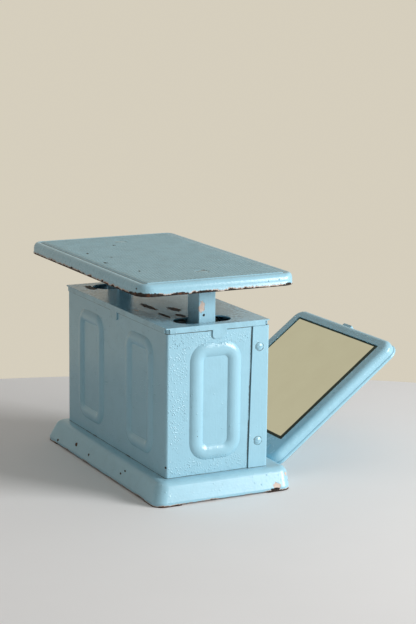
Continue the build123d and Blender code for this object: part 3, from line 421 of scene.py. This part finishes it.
def patch_mask(tree, vector, place, reach, ragged=1.7):
    """Ragged patch about a place, both it and its reach in millimetres."""
    return use(tree, "Ragged mask", {
        "Vector": vector, "Place": metres(place), "Reach": metres(reach), "Ragged": ragged})["Mask"]


def blistered(tree, vector, height, fields):
    """Paint's height with dense blisters inside each field."""
    for place, reach in fields:
        grit = use(tree, "Paint blisters", {
            "Vector": vector, "Share": 0.9, "Patches": 60.0, "Scale": 480.0, "Cover": 0.66})
        rise = calc(tree, "MULTIPLY", grit["Height"], patch_mask(tree, vector, place, reach))
        height = add_part(tree, height, rise, 2.4)
    return height


def soil_mask(tree, vector, shadows_and_stains, seam):
    """Where dirt and painted shadow sit: in the stains, which hold both, and along a level joint. None where
    there is neither.
    """
    marks = [patch_mask(tree, vector, place, reach, 0.8) for place, reach in shadows_and_stains]
    if seam is not None:
        away = calc(tree, "ABSOLUTE", calc(tree, "SUBTRACT", axes(tree, vector)[2], seam * MM))
        away = add_part(tree, away, noise(tree, vector, 90.0, 4.0), 0.9 * MM)
        marks.append(span(tree, away, 1.3 * MM, 0.8 * MM))
    return largest(tree, marks)


def loss_masks(tree, vector, chips, loss):
    """Where paint is gone down to the primer and down to the steel, each None where it is whole."""
    shallow = [patch_mask(tree, vector, place, reach) for place, reach, is_deep in chips if not is_deep]
    deep = [patch_mask(tree, vector, place, reach) for place, reach, is_deep in chips if is_deep]
    if loss:
        level, depth, runs, amount = loss
        edge = use(tree, "Edge loss", {
            "Vector": vector, "Level": level * MM, "Depth": depth * MM, "Runs": runs, "Amount": amount})
        deep.append(edge["Mask"])
        shallow.append(edge["Primer"])
    return largest(tree, shallow), largest(tree, deep)


def enamel_material(
        name, colour, chips=(), loss=None, blisters=0.0, strokes=(900.0, 900.0, 26.0), tone=0.12,
        gloss=0.24, grime=0.25, patches=22.0, fields=(), shadows_and_stains=(), seam=None, stain_and_shade_strength=0.8):
    """Chipped gloss enamel, with places, reaches and levels in millimetres.

    chips: (place, reach, whether it goes down to the steel).
    loss: (level, depth, runs, amount) of paint gone along a lower edge.
    fields and stains: (place, reach) of dense blisters, and of dirt and painted shadow.
    seam: level of a dirty joint.
    """
    finish = bpy.context.scene.scale_finish
    made, tree, shader, vector = start_material(name)
    coat = use(tree, "Brushed enamel", {
        "Vector": vector, "Colour": rgba(colour), "Strokes": strokes, "Tone": tone, "Gloss": gloss})
    dirt = use(tree, "Grime", {"Vector": vector, "Amount": grime})["Mask"]
    seen = mix(tree, dirt, coat["Colour"], rgba([part * 0.62 for part in colour]))
    height = coat["Height"]
    rough = coat["Roughness"]
    if blisters:
        spots = use(tree, "Paint blisters", {"Vector": vector, "Share": blisters, "Patches": patches})
        height = add_part(tree, height, spots["Height"], 3.0)
        seen = mix(tree, spots["Pit"], seen, PIT)
    height = blistered(tree, vector, height, fields)
    stain_and_shade = soil_mask(tree, vector, shadows_and_stains, seam)
    # The stains darken the paint: dirt along the joint, and painted shadow and painted shade elsewhere.
    if stain_and_shade is not None:
        seen = mix(tree, calc(tree, "MULTIPLY", stain_and_shade, stain_and_shade_strength), seen, DIRT_AND_SHADE)
    shallow, deep = loss_masks(tree, vector, chips, loss)
    if shallow is not None:
        under = mix(tree, noise(tree, vector, 300.0, 4.0), rgba(finish.primer), PALE_PRIMER)
        seen = mix(tree, shallow, seen, under)
        rough = add_part(tree, rough, shallow, 0.4)
        height = add_part(tree, height, shallow, -1.2)
    if deep is not None:
        bare = use(tree, "Bare rusty steel", {"Vector": vector, "Rust": rgba(finish.rust)})
        seen = mix(tree, deep, seen, bare["Colour"])
        rough = calc(tree, "MINIMUM", add_part(tree, rough, deep, 0.5), 1.0)
        height = add_part(tree, height, deep, -2.0)
    tree.links.new(seen, shader.inputs["Base Color"])
    tree.links.new(rough, shader.inputs["Roughness"])
    bump(tree, shader, height, PAINT_BUMP)
    return made


def metal_material(name, colour, lines, dullness, grime):
    """Bare metal with grain and a little grime."""
    made, tree, shader, vector = start_material(name)
    look = use(tree, "Metal grain", {
        "Vector": vector, "Colour": rgba(colour), "Lines": lines, "Dullness": dullness})
    dirt = use(tree, "Grime", {"Vector": vector, "Amount": grime, "Scale": 110.0})["Mask"]
    seen = mix(tree, dirt, look["Colour"], METAL_DIRT)
    tree.links.new(seen, shader.inputs["Base Color"])
    tree.links.new(add_part(tree, look["Roughness"], dirt, 0.5), shader.inputs["Roughness"])
    shader.inputs["Metallic"].default_value = 1.0
    bump(tree, shader, look["Height"], 0.02 * MM)
    return made


def plain_material(name, colour, rough, speckle, depth, scale=600.0):
    """Rubber, card, ink or moulded plastic with a fine tooth. depth: of the tooth, in millimetres."""
    made, tree, shader, vector = start_material(name)
    grain = noise(tree, vector, scale, 4.0, 0.6)
    patch = noise(tree, vector, scale / 9.0, 3.0, 0.6)
    shade = add_part(tree, 1.0, calc(tree, "SUBTRACT", patch, 0.5), speckle)
    tree.links.new(brightened(tree, rgba(colour), shade), shader.inputs["Base Color"])
    tree.links.new(span(tree, grain, 0.3, 0.7, rough, rough + 0.15), shader.inputs["Roughness"])
    bump(tree, shader, grain, depth * MM)
    return made


def mirror_material(finish):
    """Old silvered glass with a dark line along the frame: a painted reflection of the frame's edge."""
    made, tree, shader, vector = start_material("Old mirror glass")
    across, back, height = axes(tree, vector)
    up = add_part(tree, calc(tree, "MULTIPLY", height, cos(MIRROR_LEAN)), back, -sin(MIRROR_LEAN))
    left = calc(tree, "SUBTRACT", across, MIRROR_LEFT)
    low = calc(tree, "SUBTRACT", up, MIRROR_LOW)
    right = calc(tree, "SUBTRACT", MIRROR_RIGHT, across)
    high = calc(tree, "SUBTRACT", MIRROR_HIGH, up)
    near = calc(tree, "MINIMUM", calc(tree, "MINIMUM", left, low), calc(tree, "MINIMUM", right, high))
    near = add_part(tree, near, noise(tree, vector, 140.0, 4.0), -0.8 * MM)
    edge = span(tree, near, 2.8 * MM, 2.4 * MM)
    cloud = noise(tree, vector, 30.0, 3.0)
    aged = mix(tree, span(tree, cloud, 0.4, 0.7, 0.0, 0.12), rgba(finish.silver), (0.55, 0.52, 0.40, 1.0))
    tree.links.new(mix(tree, edge, aged, FRAME_EDGE_REFLECTION), shader.inputs["Base Color"])
    tree.links.new(span(tree, edge, 0.0, 1.0, 0.015, 0.35), shader.inputs["Roughness"])
    shader.inputs["Metallic"].default_value = 1.0
    return made


def glass_material():
    """Clear window glass with faint smears."""
    made, tree, shader, vector = start_material("Window glass")
    smear = noise(tree, stretched(tree, vector, (30.0, 30.0, 90.0)), 1.0, 4.0, 0.6)
    tree.links.new(span(tree, smear, 0.4, 0.8, 0.02, 0.12), shader.inputs["Roughness"])
    shader.inputs["Base Color"].default_value = (0.93, 0.97, 0.96, 1.0)
    shader.inputs["Transmission Weight"].default_value = 1.0
    shader.inputs["IOR"].default_value = 1.45
    return made


def dial_material(finish):
    """Cream enamel, a little yellowed, with a few specks."""
    made, tree, shader, vector = start_material("Dial enamel")
    cloud = noise(tree, vector, 45.0, 5.0, 0.6)
    yellowed = span(tree, cloud, 0.4, 0.75, 0.0, 0.3)
    cream = mix(tree, yellowed, rgba(finish.dial_cream), (0.55, 0.46, 0.30, 1.0))
    specks = span(tree, noise(tree, vector, 900.0, 2.0), 0.74, 0.78)
    seen = mix(tree, specks, cream, (0.2, 0.13, 0.08, 1.0))
    tree.links.new(seen, shader.inputs["Base Color"])
    tree.links.new(span(tree, cloud, 0.3, 0.7, 0.3, 0.45), shader.inputs["Roughness"])
    bump(tree, shader, cloud, 0.05 * MM)
    return made


def paint(names, material):
    """Gives CAD nodes one material."""
    for name in names:
        materials = NODES[name].data.materials
        materials.clear()
        materials.append(material)


# Mesh tools

def finish_piece(name, mesh, body, material, smooth=False):
    """Turns a bmesh into a named piece that rides on a body."""
    data = bpy.data.meshes.new(name)
    bmesh.ops.recalc_face_normals(mesh, faces=mesh.faces)
    mesh.to_mesh(data)
    mesh.free()
    piece = bpy.data.objects.new(name, data)
    bpy.context.scene.collection.objects.link(piece)
    for face in data.polygons:
        face.use_smooth = smooth
    data.materials.append(material)
    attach(piece, body)
    return piece


def trim(mesh, point, normal):
    """Cuts away what lies beyond a plane."""
    everything = mesh.verts[:] + mesh.edges[:] + mesh.faces[:]
    bmesh.ops.bisect_plane(mesh, geom=everything, plane_co=point, plane_no=normal, clear_outer=True)


def rounded_ring(mesh, centre, size, corner, z):
    """Adds the vertices of one level rounded rectangle, with its half size, in order."""
    made = []
    steps = 8
    for quarter, (x, y) in enumerate(((1, 1), (-1, 1), (-1, -1), (1, -1))):
        for step in range(steps + 1):
            turn = (quarter + step / steps) * pi / 2
            made.append(mesh.verts.new((
                centre.x + x * (size[0] - corner) + corner * cos(turn),
                centre.y + y * (size[1] - corner) + corner * sin(turn), z)))
    return made


def bridge(mesh, near, far, material=0):
    """Joins two rings of as many vertices with a strip of faces."""
    for index in range(len(near)):
        after = (index + 1) % len(near)
        face = mesh.faces.new((near[index], near[after], far[after], far[index]))
        face.material_index = material


def tray_profile(tread):
    """Insets from the ends and the long sides, and heights, of the tray's rings in millimetres.

    They run from the hollow underside out round the rim's lip, over its crown, down into the groove round
    the pad and up to the pad.
    """
    underside = [(7.6, 9.9), (6.2, 9.5), (2.4, 9.0), (1.6, 8.0), (1.6, 1.8), (4.0, 1.6), (4.0, 0.0)]
    lip = [(0.6, 0.0), (0.1, 0.3), (0.0, 0.8), (0.05, 1.9), (0.4, 2.4)]
    wall_inset, wall_top = 0.4, 5.4
    crown_width, crown_height = 5.2, 6.1
    rings = [(inset, inset, z) for inset, z in underside + lip + [(wall_inset, wall_top)]]
    for degree in range(15, 91, 15):
        inset = wall_inset + crown_width * (1.0 - cos(radians(degree)))
        rings.append((inset, inset, wall_top + crown_height * sin(radians(degree))))
    rings += [(6.2, 6.3, 11.4), (7.6, 9.0, 10.45), (8.5, 10.7, 10.45)]
    valley = PLATE_HIGH.z - PLATE_LOW.z - tread.rise
    return rings + [(tread.end_inset / MM, tread.side_inset / MM, valley / MM)]


def figure(weight, size):
    """Mesh of a printed figure that stands in the XZ plane, mirrored for reading in the mirror."""
    curve = bpy.data.curves.new("figure", "FONT")
    curve.body = str(weight)
    curve.size = size
    curve.align_x = "CENTER"
    curve.align_y = "CENTER"
    curve.extrude = 0.04 * MM
    curve.resolution_u = 4
    text = bpy.data.objects.new("figure", curve)
    flat = bpy.data.meshes.new_from_object(text)
    bpy.data.objects.remove(text)
    bpy.data.curves.remove(curve)
    flat.transform(Matrix.Diagonal((-1.0, 1.0, 1.0, 1.0)) @ Matrix.Rotation(pi / 2, 4, "X"))
    return flat


def soften(mesh, angle):
    """Smooths every edge that isn't sharper than an angle."""
    for edge in mesh.edges:
        edge.smooth = edge.calc_face_angle(0.0) < angle


# Stage

WARM = (1.0, 0.97, 0.93)


def build_floor(stage):
    """Round pale floor, set toward the camera so that its far edge shows behind the scale."""
    thickness = 12.0 * MM
    mesh = bmesh.new()
    bmesh.ops.create_circle(mesh, cap_ends=True, segments=360, radius=stage.floor_radius)
    skirt = bmesh.ops.extrude_edge_only(mesh, edges=mesh.edges[:])["geom"]
    low = [item for item in skirt if isinstance(item, bmesh.types.BMVert)]
    bmesh.ops.translate(mesh, verts=low, vec=(0.0, 0.0, -thickness))
    across = stage.floor_shift * sin(stage.azimuth)
    back = -stage.floor_shift * cos(stage.azimuth)
    bmesh.ops.translate(mesh, verts=mesh.verts, vec=(across, back, -stage.floor_drop))
    data = bpy.data.meshes.new("floor")
    mesh.to_mesh(data)
    mesh.free()
    floor = bpy.data.objects.new("floor", data)
    bpy.context.scene.collection.objects.link(floor)
    made, tree, shader, vector = start_material("Pale floor")
    cloud = noise(tree, vector, 5.0, 3.0)
    tooth = noise(tree, stretched(tree, vector, (900.0, 900.0, 1.0)), 1.0, 2.0)
    dull = [part * 0.93 for part in stage.floor_colour]
    tree.links.new(mix(tree, cloud, rgba(stage.floor_colour), rgba(dull)), shader.inputs["Base Color"])
    tree.links.new(span(tree, tooth, 0.2, 0.8, 0.85, 0.95), shader.inputs["Roughness"])
    data.materials.append(made)


def build_room(stage):
    """World that looks like a plain warm wall and lights the scale more softly than it looks."""
    world = bpy.data.worlds.new("Room")
    bpy.context.scene.world = world
    world.use_nodes = True
    tree = world.node_tree
    tree.nodes.clear()
    wall = node(tree, "ShaderNodeBackground", None, {"Color": rgba(stage.wall), "Strength": 1.0})
    room = node(tree, "ShaderNodeBackground", None, {"Color": rgba(WARM), "Strength": 0.26})
    path = node(tree, "ShaderNodeLightPath").outputs
    seen = largest(tree, [path["Is Camera Ray"], path["Is Glossy Ray"], path["Is Transmission Ray"]])
    both = node(tree, "ShaderNodeMixShader", None, {0: seen, 1: room.outputs[0], 2: wall.outputs[0]})
    node(tree, "ShaderNodeOutputWorld", None, {0: both.outputs[0]})


def build_lamp(name, place, power, size, tint):
    """Square soft light that faces the case."""
    lamp = bpy.data.lights.new(name, "AREA")
    lamp.energy = power
    lamp.size = size
    lamp.color = tint
    item = bpy.data.objects.new(name, lamp)
    item.location = place
    toward = Vector((0.0, CASE_Y, 0.1)) - Vector(place)
    item.rotation_euler = toward.to_track_quat("-Z", "Y").to_euler()
    bpy.context.scene.collection.objects.link(item)


def build_camera(stage):
    """Camera at the photographer's place."""
    lens = bpy.data.cameras.new("view")
    lens.sensor_width = 36.0
    lens.lens = stage.lens
    lens.dof.use_dof = False
    camera = bpy.data.objects.new("view", lens)
    turn = Matrix.Rotation(stage.azimuth, 4, "Z") @ Matrix.Rotation(pi / 2 - stage.elevation, 4, "X")
    camera.matrix_world = Matrix.Translation(stage.place) @ turn @ Matrix.Rotation(stage.roll, 4, "Z")
    bpy.context.scene.collection.objects.link(camera)
    bpy.context.scene.camera = camera


# Operators

class SCALE_OT_effects(bpy.types.Operator):
    """Builds the shared paint, chip, rust and metal effects"""

    bl_idname = "scale.effects"
    bl_label = "Shared effects"

    def execute(self, context):
        build_enamel_group()
        build_blister_group()
        build_chip_group()
        build_edge_loss_group()
        build_bare_steel_group()
        build_metal_grain_group()
        build_grime_group()
        return {"FINISHED"}


class SCALE_OT_case(bpy.types.Operator):
    """Enamels the case, its cover, lid and screws"""

    bl_idname = "scale.case"
    bl_label = "Case"

    def execute(self, context):
        enamel = context.scene.scale_finish.enamel
        side, back, cover_face, ledge = 118.7, 54.0, 120.0, 22.0
        top = CASE_HIGH.z / MM
        below_skirt = top - 5.8
        shell_chips = [
            ((66.9, back, ledge), (5.0, 1.5, 0.9), True),
            ((48.7, back, ledge + 0.2), (6.0, 1.5, 0.8), True),
            ((-33.0, back, ledge + 0.2), (7.0, 1.5, 0.9), True),
            ((-117.5, 53.9, 33.0), (1.6, 1.2, 1.2), True),
            ((-side, 22.0, 61.0), (3.0, 0.8, 1.2), True), ((-side, 22.4, 66.0), (3.0, 0.4, 0.5), True)]
        fields = [
            ((-side, 43.0, 112.0), (6.0, 12.0, 62.0)), ((-side, 6.0, 31.0), (6.0, 52.0, 11.0)),
            ((-side, 8.0, 154.0), (6.0, 48.0, 8.0))]
        # Dark strips along the edges of the cover's flanges: painted shadow of the flanges on the case's
        # sides.
        flange_and_skirt_shadows = [
            ((x, y, z), (3.0, 1.7, 29.0)) for x in (-side, side) for y, z in (
                (-37.1, 139.0), (-36.0, 92.0), (-35.0, 46.0))]
        # Dark lines just below the lid's skirt: painted shadow of the skirt.
        flange_and_skirt_shadows += [((-side, 5.0, below_skirt), (3.0, 64.0, 0.8)), ((0.0, back, below_skirt), (150.0, 3.0, 0.6))]
        paint(["body_shell"], enamel_material(
            "Case enamel", enamel, shell_chips, blisters=0.16, grime=0.15, gloss=0.17, patches=30.0,
            fields=fields, shadows_and_stains=flange_and_skirt_shadows, seam=ledge))
        # Dark rings on the cover round the screw heads: painted shadow of the heads.
        screw_shadows = [
            ((x, -44.45, z), (1.2, 4.7, 4.7)) for x in (-cover_face, cover_face) for z in (48.8, 142.4)]
        paint(["front_cover"], enamel_material(
            "Cover enamel", enamel, blisters=0.04, gloss=0.18, grime=0.12, shadows_and_stains=screw_shadows, seam=ledge))
        paint(["cover_screws"], enamel_material(
            "Screw enamel", enamel, blisters=0.04, gloss=0.18, grime=0.3))
        lid_chips = [
            ((-70.0, 16.0, top), (9.0, 4.0, 1.0), True), ((-64.0, 30.0, top), (14.0, 3.0, 1.0), True),
            ((-40.0, 8.0, top), (12.0, 5.0, 1.0), True), ((-20.0, 26.0, top), (18.0, 4.0, 1.0), True),
            ((95.0, 38.0, top), (12.0, 5.0, 1.0), True), ((-30.0, 44.0, top), (4.0, 2.0, 1.0), False),
            ((60.0, -30.0, top), (9.0, 3.0, 1.0), True)]
        # The stain over the whole top of the lid darkens it: painted shade under the platform.
        paint(["lid"], enamel_material(
            "Lid enamel", enamel, lid_chips, blisters=0.3, strokes=(30.0, 900.0, 900.0), gloss=0.16,
            grime=0.5, tone=0.3, shadows_and_stains=[((0.0, 0.0, top + 0.6), (150.0, 80.0, 1.0))], stain_and_shade_strength=0.4))
        return {"FINISHED"}


class SCALE_OT_plinth(bpy.types.Operator):
    """Enamels the plinth, with its chips and the rust along its lower edge"""

    bl_idname = "scale.plinth"
    bl_label = "Plinth"

    def execute(self, context):
        enamel = context.scene.scale_finish.enamel
        chips = [
            ((62.1, 69.3, 11.3), (3.2, 2.0, 2.0), True), ((28.1, 70.0, 9.4), (1.6, 2.0, 1.6), True),
            ((105.9, 71.7, 5.2), (2.0, 2.0, 1.6), True), ((-49.4, 69.5, 10.8), (1.6, 2.0, 1.0), True),
            ((-56.7, 67.9, 14.9), (2.2, 2.0, 0.8), True), ((-135.4, -58.0, 5.4), (2.0, 4.4, 4.6), False),
            ((-131.4, -71.5, 15.0), (3.0, 2.6, 2.2), False), ((-131.8, -73.9, 8.3), (2.5, 1.2, 1.3), True),
            ((-135.8, -56.0, 2.6), (2.0, 5.0, 1.5), True)]
        paint(["base_plinth"], enamel_material(
            "Plinth enamel", enamel, chips, loss=(0.6, 1.6, 45.0, 0.36), blisters=0.12,
            strokes=(30.0, 30.0, 900.0), patches=30.0))
        return {"FINISHED"}


class SCALE_OT_platform(bpy.types.Operator):
    """Presses the platform's rim, groove and underside, and enamels them with bare steel along the rim"""

    bl_idname = "scale.platform"
    bl_label = "Platform"

    def execute(self, context):
        finish = context.scene.scale_finish
        tread = context.scene.scale_tread
        chips = [
            ((-131.0, 84.0, 203.6), (24.0, 18.0, 3.4), True), ((-137.0, -70.0, 204.5), (3.0, 9.0, 2.0), True),
            ((-137.0, 50.0, 203.8), (2.0, 9.0, 2.2), True), ((-137.0, 24.0, 203.8), (2.0, 12.0, 1.8), True),
            ((24.0, 90.1, 204.6), (2.4, 2.0, 1.8), True), ((-6.0, 90.1, 203.8), (3.0, 2.0, 1.6), True),
            ((-126.0, 86.0, 209.8), (1.6, 4.0, 1.2), True), ((-132.0, 70.0, 209.6), (3.0, 2.2, 1.2), False)]
        material = enamel_material(
            "Platform enamel", finish.enamel, chips, loss=(203.2, 2.2, 110.0, 0.42), blisters=0.03,
            strokes=(30.0, 30.0, 600.0), gloss=0.2)
        middle = (PLATE_HIGH + PLATE_LOW) / 2
        half = (PLATE_HIGH - PLATE_LOW) / 2
        mesh = bmesh.new()
        rings = []
        for end, side, z in tray_profile(tread):
            corner = max(tread.corner - 1.6 * end * MM, 0.8 * MM)
            size = (half.x - end * MM, half.y - side * MM)
            rings.append(rounded_ring(mesh, middle, size, corner, PLATE_LOW.z + z * MM))
        mesh.faces.new(rings[0])
        for near, far in zip(rings, rings[1:]):
            bridge(mesh, near, far, 1 if near is rings[-3] else 0)
        soften(mesh, radians(50.0))
        piece = finish_piece("platform_tray", mesh, "platform", material, True)
        # The groove's floor gets the tread colour at less than half its brightness: painted shade in the
        # groove.
        groove_shade = [part * 0.45 for part in finish.tread_enamel]
        piece.data.materials.append(enamel_material("Groove enamel", groove_shade, grime=0.6, gloss=0.35))
        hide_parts("platform_plate")
        post_chips = [
            ((-106.0, 11.0, 183.0), (3.0, 3.2, 5.4), False), ((-106.0, 8.6, 175.1), (1.5, 1.3, 1.4), True)]
        paint(["post_left", "post_right"], enamel_material(
            "Post enamel", finish.enamel, post_chips, blisters=0.5, patches=40.0))
        paint(["post_rivets"], enamel_material("Rivet enamel", finish.tread_enamel, blisters=0.05))
        return {"FINISHED"}


class SCALE_OT_tread(bpy.types.Operator):
    """Lays the diamond pattern on the platform's pad, with a hollow round each rivet"""

    bl_idname = "scale.tread"
    bl_label = "Tread"

    def execute(self, context):
        tread = context.scene.scale_tread
        finish = context.scene.scale_finish
        half = (PLATE_HIGH - PLATE_LOW) / 2
        half_x = half.x - tread.end_inset
        half_y = half.y - tread.side_inset
        middle = (PLATE_HIGH + PLATE_LOW) / 2
        valley = PLATE_HIGH.z - tread.rise
        side = tread.pitch / 2 ** 0.5
        count = int(2.0 * (half_x + half_y) / side / 2 ** 0.5) + 2
        mesh = bmesh.new()
        bmesh.ops.create_grid(mesh, x_segments=count, y_segments=count, size=count * side / 2)
        bmesh.ops.rotate(mesh, verts=mesh.verts, matrix=Matrix.Rotation(radians(45.0), 3, "Z"))
        for x, y in ((1, 0), (-1, 0), (0, 1), (0, -1)):
            trim(mesh, (x * half_x, y * half_y, 0.0), (x, y, 0.0))
        whole = [face for face in mesh.faces if len(face.verts) == 4]
        bmesh.ops.poke(mesh, faces=whole, offset=tread.rise, center_mode="MEAN")
        bmesh.ops.translate(mesh, verts=mesh.verts, vec=(middle.x, middle.y, valley))
        low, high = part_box("post_rivets")
        head = (high.y - low.y) / 2
        reach = tread.dimple + 3.0 * MM
        bottom = PLATE_HIGH.z - tread.dimple_depth
        for x in (low.x + head, high.x - head):
            centre = Vector((x, (low.y + high.y) / 2))
            near = [
                edge for edge in mesh.edges
                if all((vert.co.xy - centre).length < reach for vert in edge.verts)]
            bmesh.ops.subdivide_edges(mesh, edges=near, cuts=3, use_grid_fill=True)
            for vert in mesh.verts:
                away = (vert.co.xy - centre).length - tread.dimple
                if away < tread.dimple_edge:
                    vert.co.z = bottom + (vert.co.z - bottom) * max(away, 0.0) / tread.dimple_edge
        top = PLATE_HIGH.z / MM - 0.2
        chips = [
            ((-91.0, 1.5, top), (4.0, 2.0, 1.5), True), ((10.0, 52.3, top), (2.0, 1.2, 1.0), True),
            ((75.4, 20.7, top), (2.0, 1.5, 1.0), True), ((-16.0, 71.0, top), (3.0, 2.0, 1.0), True),
            ((40.0, 66.0, top), (2.4, 1.6, 1.0), True), ((-70.0, 60.0, top), (1.6, 1.6, 1.0), True)]
        material = enamel_material(
            "Tread enamel", finish.tread_enamel, chips, blisters=0.06, strokes=(60.0, 60.0, 60.0),
            gloss=0.3, tone=0.3, grime=0.5)
        finish_piece("tread_knurl", mesh, "platform", material)
        return {"FINISHED"}


class SCALE_OT_mirror(bpy.types.Operator):
    """Finishes the mirror, its frame, back and hinges"""

    bl_idname = "scale.mirror"
    bl_label = "Mirror"

    def execute(self, context):
        finish = context.scene.scale_finish
        frame_paint = enamel_material(
            "Mirror frame enamel", finish.enamel, blisters=0.06, strokes=(30.0, 200.0, 200.0), gloss=0.2,
            grime=0.15)
        paint(["mirror_frame", "mirror_pull"], frame_paint)
        hinge_paint = enamel_material("Hinge enamel", finish.enamel, blisters=0.2, grime=0.5)
        paint(["fixed_hinge_leaves", "moving_hinge_leaves", "ledge_rivets", "frame_rivets"], hinge_paint)
        back = enamel_material(
            "Mirror back enamel", finish.enamel, blisters=0.08, strokes=(30.0, 300.0, 300.0), grime=0.4)
        paint(["mirror_back"], back)
        paint(["mirror_glass"], mirror_material(finish))
        paint(["mirror_packing"], plain_material("Millboard", (0.30, 0.21, 0.12), 0.8, 0.4, 0.1, 900.0))
        return {"FINISHED"}


class SCALE_OT_works(bpy.types.Operator):
    """Finishes the levers, spring, rack, plates and zero adjustment"""

    bl_idname = "scale.works"
    bl_label = "Works"

    def execute(self, context):
        zinc = metal_material("Zinc plate", (0.52, 0.53, 0.52), (300.0, 300.0, 300.0), 0.38, 0.5)
        paint([
            "lever_bracket_left", "lever_bracket_right", "mechanism_frame", "draw_stirrup", "post_feet",
            "platform_bridge", "glass_retainer"], zinc)
        drawn = metal_material("Drawn steel", (0.50, 0.50, 0.51), (60.0, 1800.0, 1800.0), 0.25, 0.4)
        paint(["lever_left", "lever_right"], drawn)
        turned = metal_material("Turned steel", (0.56, 0.56, 0.57), (1600.0, 60.0, 1600.0), 0.2, 0.25)
        paint([
            "fulcrum_pin_left", "fulcrum_pin_right", "spring_hanger", "spring_anchor", "spindle",
            "zero_shaft", "hinge_pins"], turned)
        fixings = metal_material("Fixings steel", (0.44, 0.44, 0.45), (900.0, 900.0, 200.0), 0.3, 0.5)
        paint(["frame_screws", "hanger_nut"], fixings)
        wire = metal_material("Spring wire", (0.16, 0.16, 0.18), (200.0, 200.0, 900.0), 0.3, 0.3)
        paint(["main_spring"], wire)
        plate = metal_material("Rolled brass", (0.60, 0.42, 0.17), (60.0, 1500.0, 1500.0), 0.24, 0.4)
        paint(["rear_plate", "front_plate", "rack"], plate)
        brass = metal_material("Turned brass", (0.64, 0.45, 0.18), (1500.0, 60.0, 1500.0), 0.2, 0.35)
        paint([
            "movement_spacers", "movement_pillars", "rear_bush", "front_bush", "zero_bush", "pinion",
            "pointer_hub"], brass)
        bezel = metal_material("Plated bezel", (0.70, 0.71, 0.72), (500.0, 500.0, 500.0), 0.1, 0.3)
        paint(["dial_bezel"], bezel)
        paint(["zero_wheel"], plain_material("Black rubber", (0.022, 0.022, 0.024), 0.7, 0.5, 0.08))
        paint(["zero_knob"], plain_material("Moulded knob", (0.018, 0.017, 0.017), 0.22, 0.3, 0.01))
        return {"FINISHED"}


class SCALE_OT_dial(bpy.types.Operator):
    """Marks the dial for reading in the mirror, and finishes pointer and glass"""

    bl_idname = "scale.dial"
    bl_label = "Dial"

    def execute(self, context):
        dial = context.scene.scale_dial
        finish = context.scene.scale_finish
        centre = (DIAL_LOW + DIAL_HIGH) / 2
        front = DIAL_LOW.y
        paint(["dial_plate"], dial_material(finish))
        paint(["pointer"], plain_material("Pointer black", (0.02, 0.02, 0.022), 0.45, 0.3, 0.02))
        paint(["dial_glass"], glass_material())
        ink = plain_material("Dial ink", (0.02, 0.02, 0.02), 0.4, 0.4, 0.01, 1500.0)
        mesh = bmesh.new()
        for weight in range(dial.capacity + 1):
            length, width = next(
                (length * MM, width * MM) for step, length, width in STROKES if weight % step == 0)
            place = Matrix.Translation((0.0, 0.0, dial.outer - length / 2))
            size = Matrix.Diagonal((width, 0.1 * MM, length, 1.0))
            turn = Matrix.Rotation(-dial.sweep * weight / dial.capacity, 4, "Y")
            bmesh.ops.create_cube(mesh, size=1.0, matrix=turn @ place @ size)
        bmesh.ops.translate(mesh, verts=mesh.verts, vec=(centre.x, front, centre.z))
        finish_piece("dial_strokes", mesh, "dial", ink)
        mesh = bmesh.new()
        for weight in range(0, dial.capacity, 10):
            angle = dial.sweep * weight / dial.capacity
            flat = figure(weight, dial.figure_size)
            flat.transform(Matrix.Translation((
                centre.x - dial.figure_radius * sin(angle), front,
                centre.z + dial.figure_radius * cos(angle))))
            mesh.from_mesh(flat)
            bpy.data.meshes.remove(flat)
        bmesh.ops.remove_doubles(mesh, verts=mesh.verts, dist=0.001 * MM)
        finish_piece("dial_figures", mesh, "dial", ink)
        return {"FINISHED"}


class SCALE_OT_stage(bpy.types.Operator):
    """Sets the pale floor, the soft light and the camera"""

    bl_idname = "scale.stage"
    bl_label = "Stage"

    def execute(self, context):
        stage = context.scene.scale_stage
        build_floor(stage)
        build_room(stage)
        build_lamp("window", (-1.5, CASE_Y - 1.5, 0.8), 60.0, 1.0, (0.96, 0.98, 1.0))
        build_lamp("ceiling", (0.2, CASE_Y + 0.2, 2.0), 6.0, 2.4, WARM)
        build_camera(stage)
        context.scene.view_settings.view_transform = "Standard"
        return {"FINISHED"}


class SCALE_PT_panel(bpy.types.Panel):
    """Lists the pieces of the scale"""

    bl_label = "Bathroom scale"
    bl_idname = "SCALE_PT_panel"
    bl_space_type = "VIEW_3D"
    bl_region_type = "UI"
    bl_category = "Scale"

    def draw(self, context):
        for operator in OPERATORS:
            self.layout.operator(operator.bl_idname)
        for name, kind in GROUPS:
            settings = getattr(context.scene, name)
            for key in settings.bl_rna.properties.keys():
                if key not in ("rna_type", "name"):
                    self.layout.prop(settings, key)


OPERATORS = (
    SCALE_OT_effects, SCALE_OT_case, SCALE_OT_plinth, SCALE_OT_platform, SCALE_OT_tread, SCALE_OT_mirror,
    SCALE_OT_works, SCALE_OT_dial, SCALE_OT_stage)
GROUPS = (
    ("scale_finish", ScaleFinish), ("scale_tread", ScaleTread), ("scale_dial", ScaleDial),
    ("scale_stage", ScaleStage))


def register():
    """Registers the settings, the operators and the panel."""
    for name, kind in GROUPS:
        bpy.utils.register_class(kind)
        setattr(bpy.types.Scene, name, bpy.props.PointerProperty(type=kind))
    for kind in OPERATORS:
        bpy.utils.register_class(kind)
    bpy.utils.register_class(SCALE_PT_panel)


def unregister():
    """Removes what register added."""
    bpy.utils.unregister_class(SCALE_PT_panel)
    for kind in reversed(OPERATORS):
        bpy.utils.unregister_class(kind)
    for name, kind in reversed(GROUPS):
        delattr(bpy.types.Scene, name)
        bpy.utils.unregister_class(kind)


def main():
    """Dresses the whole scale."""
    register()
    bpy.ops.scale.effects()
    bpy.ops.scale.case()
    bpy.ops.scale.plinth()
    bpy.ops.scale.platform()
    bpy.ops.scale.tread()
    bpy.ops.scale.mirror()
    bpy.ops.scale.works()
    bpy.ops.scale.dial()
    bpy.ops.scale.stage()


if __name__ == "__main__":
    main()
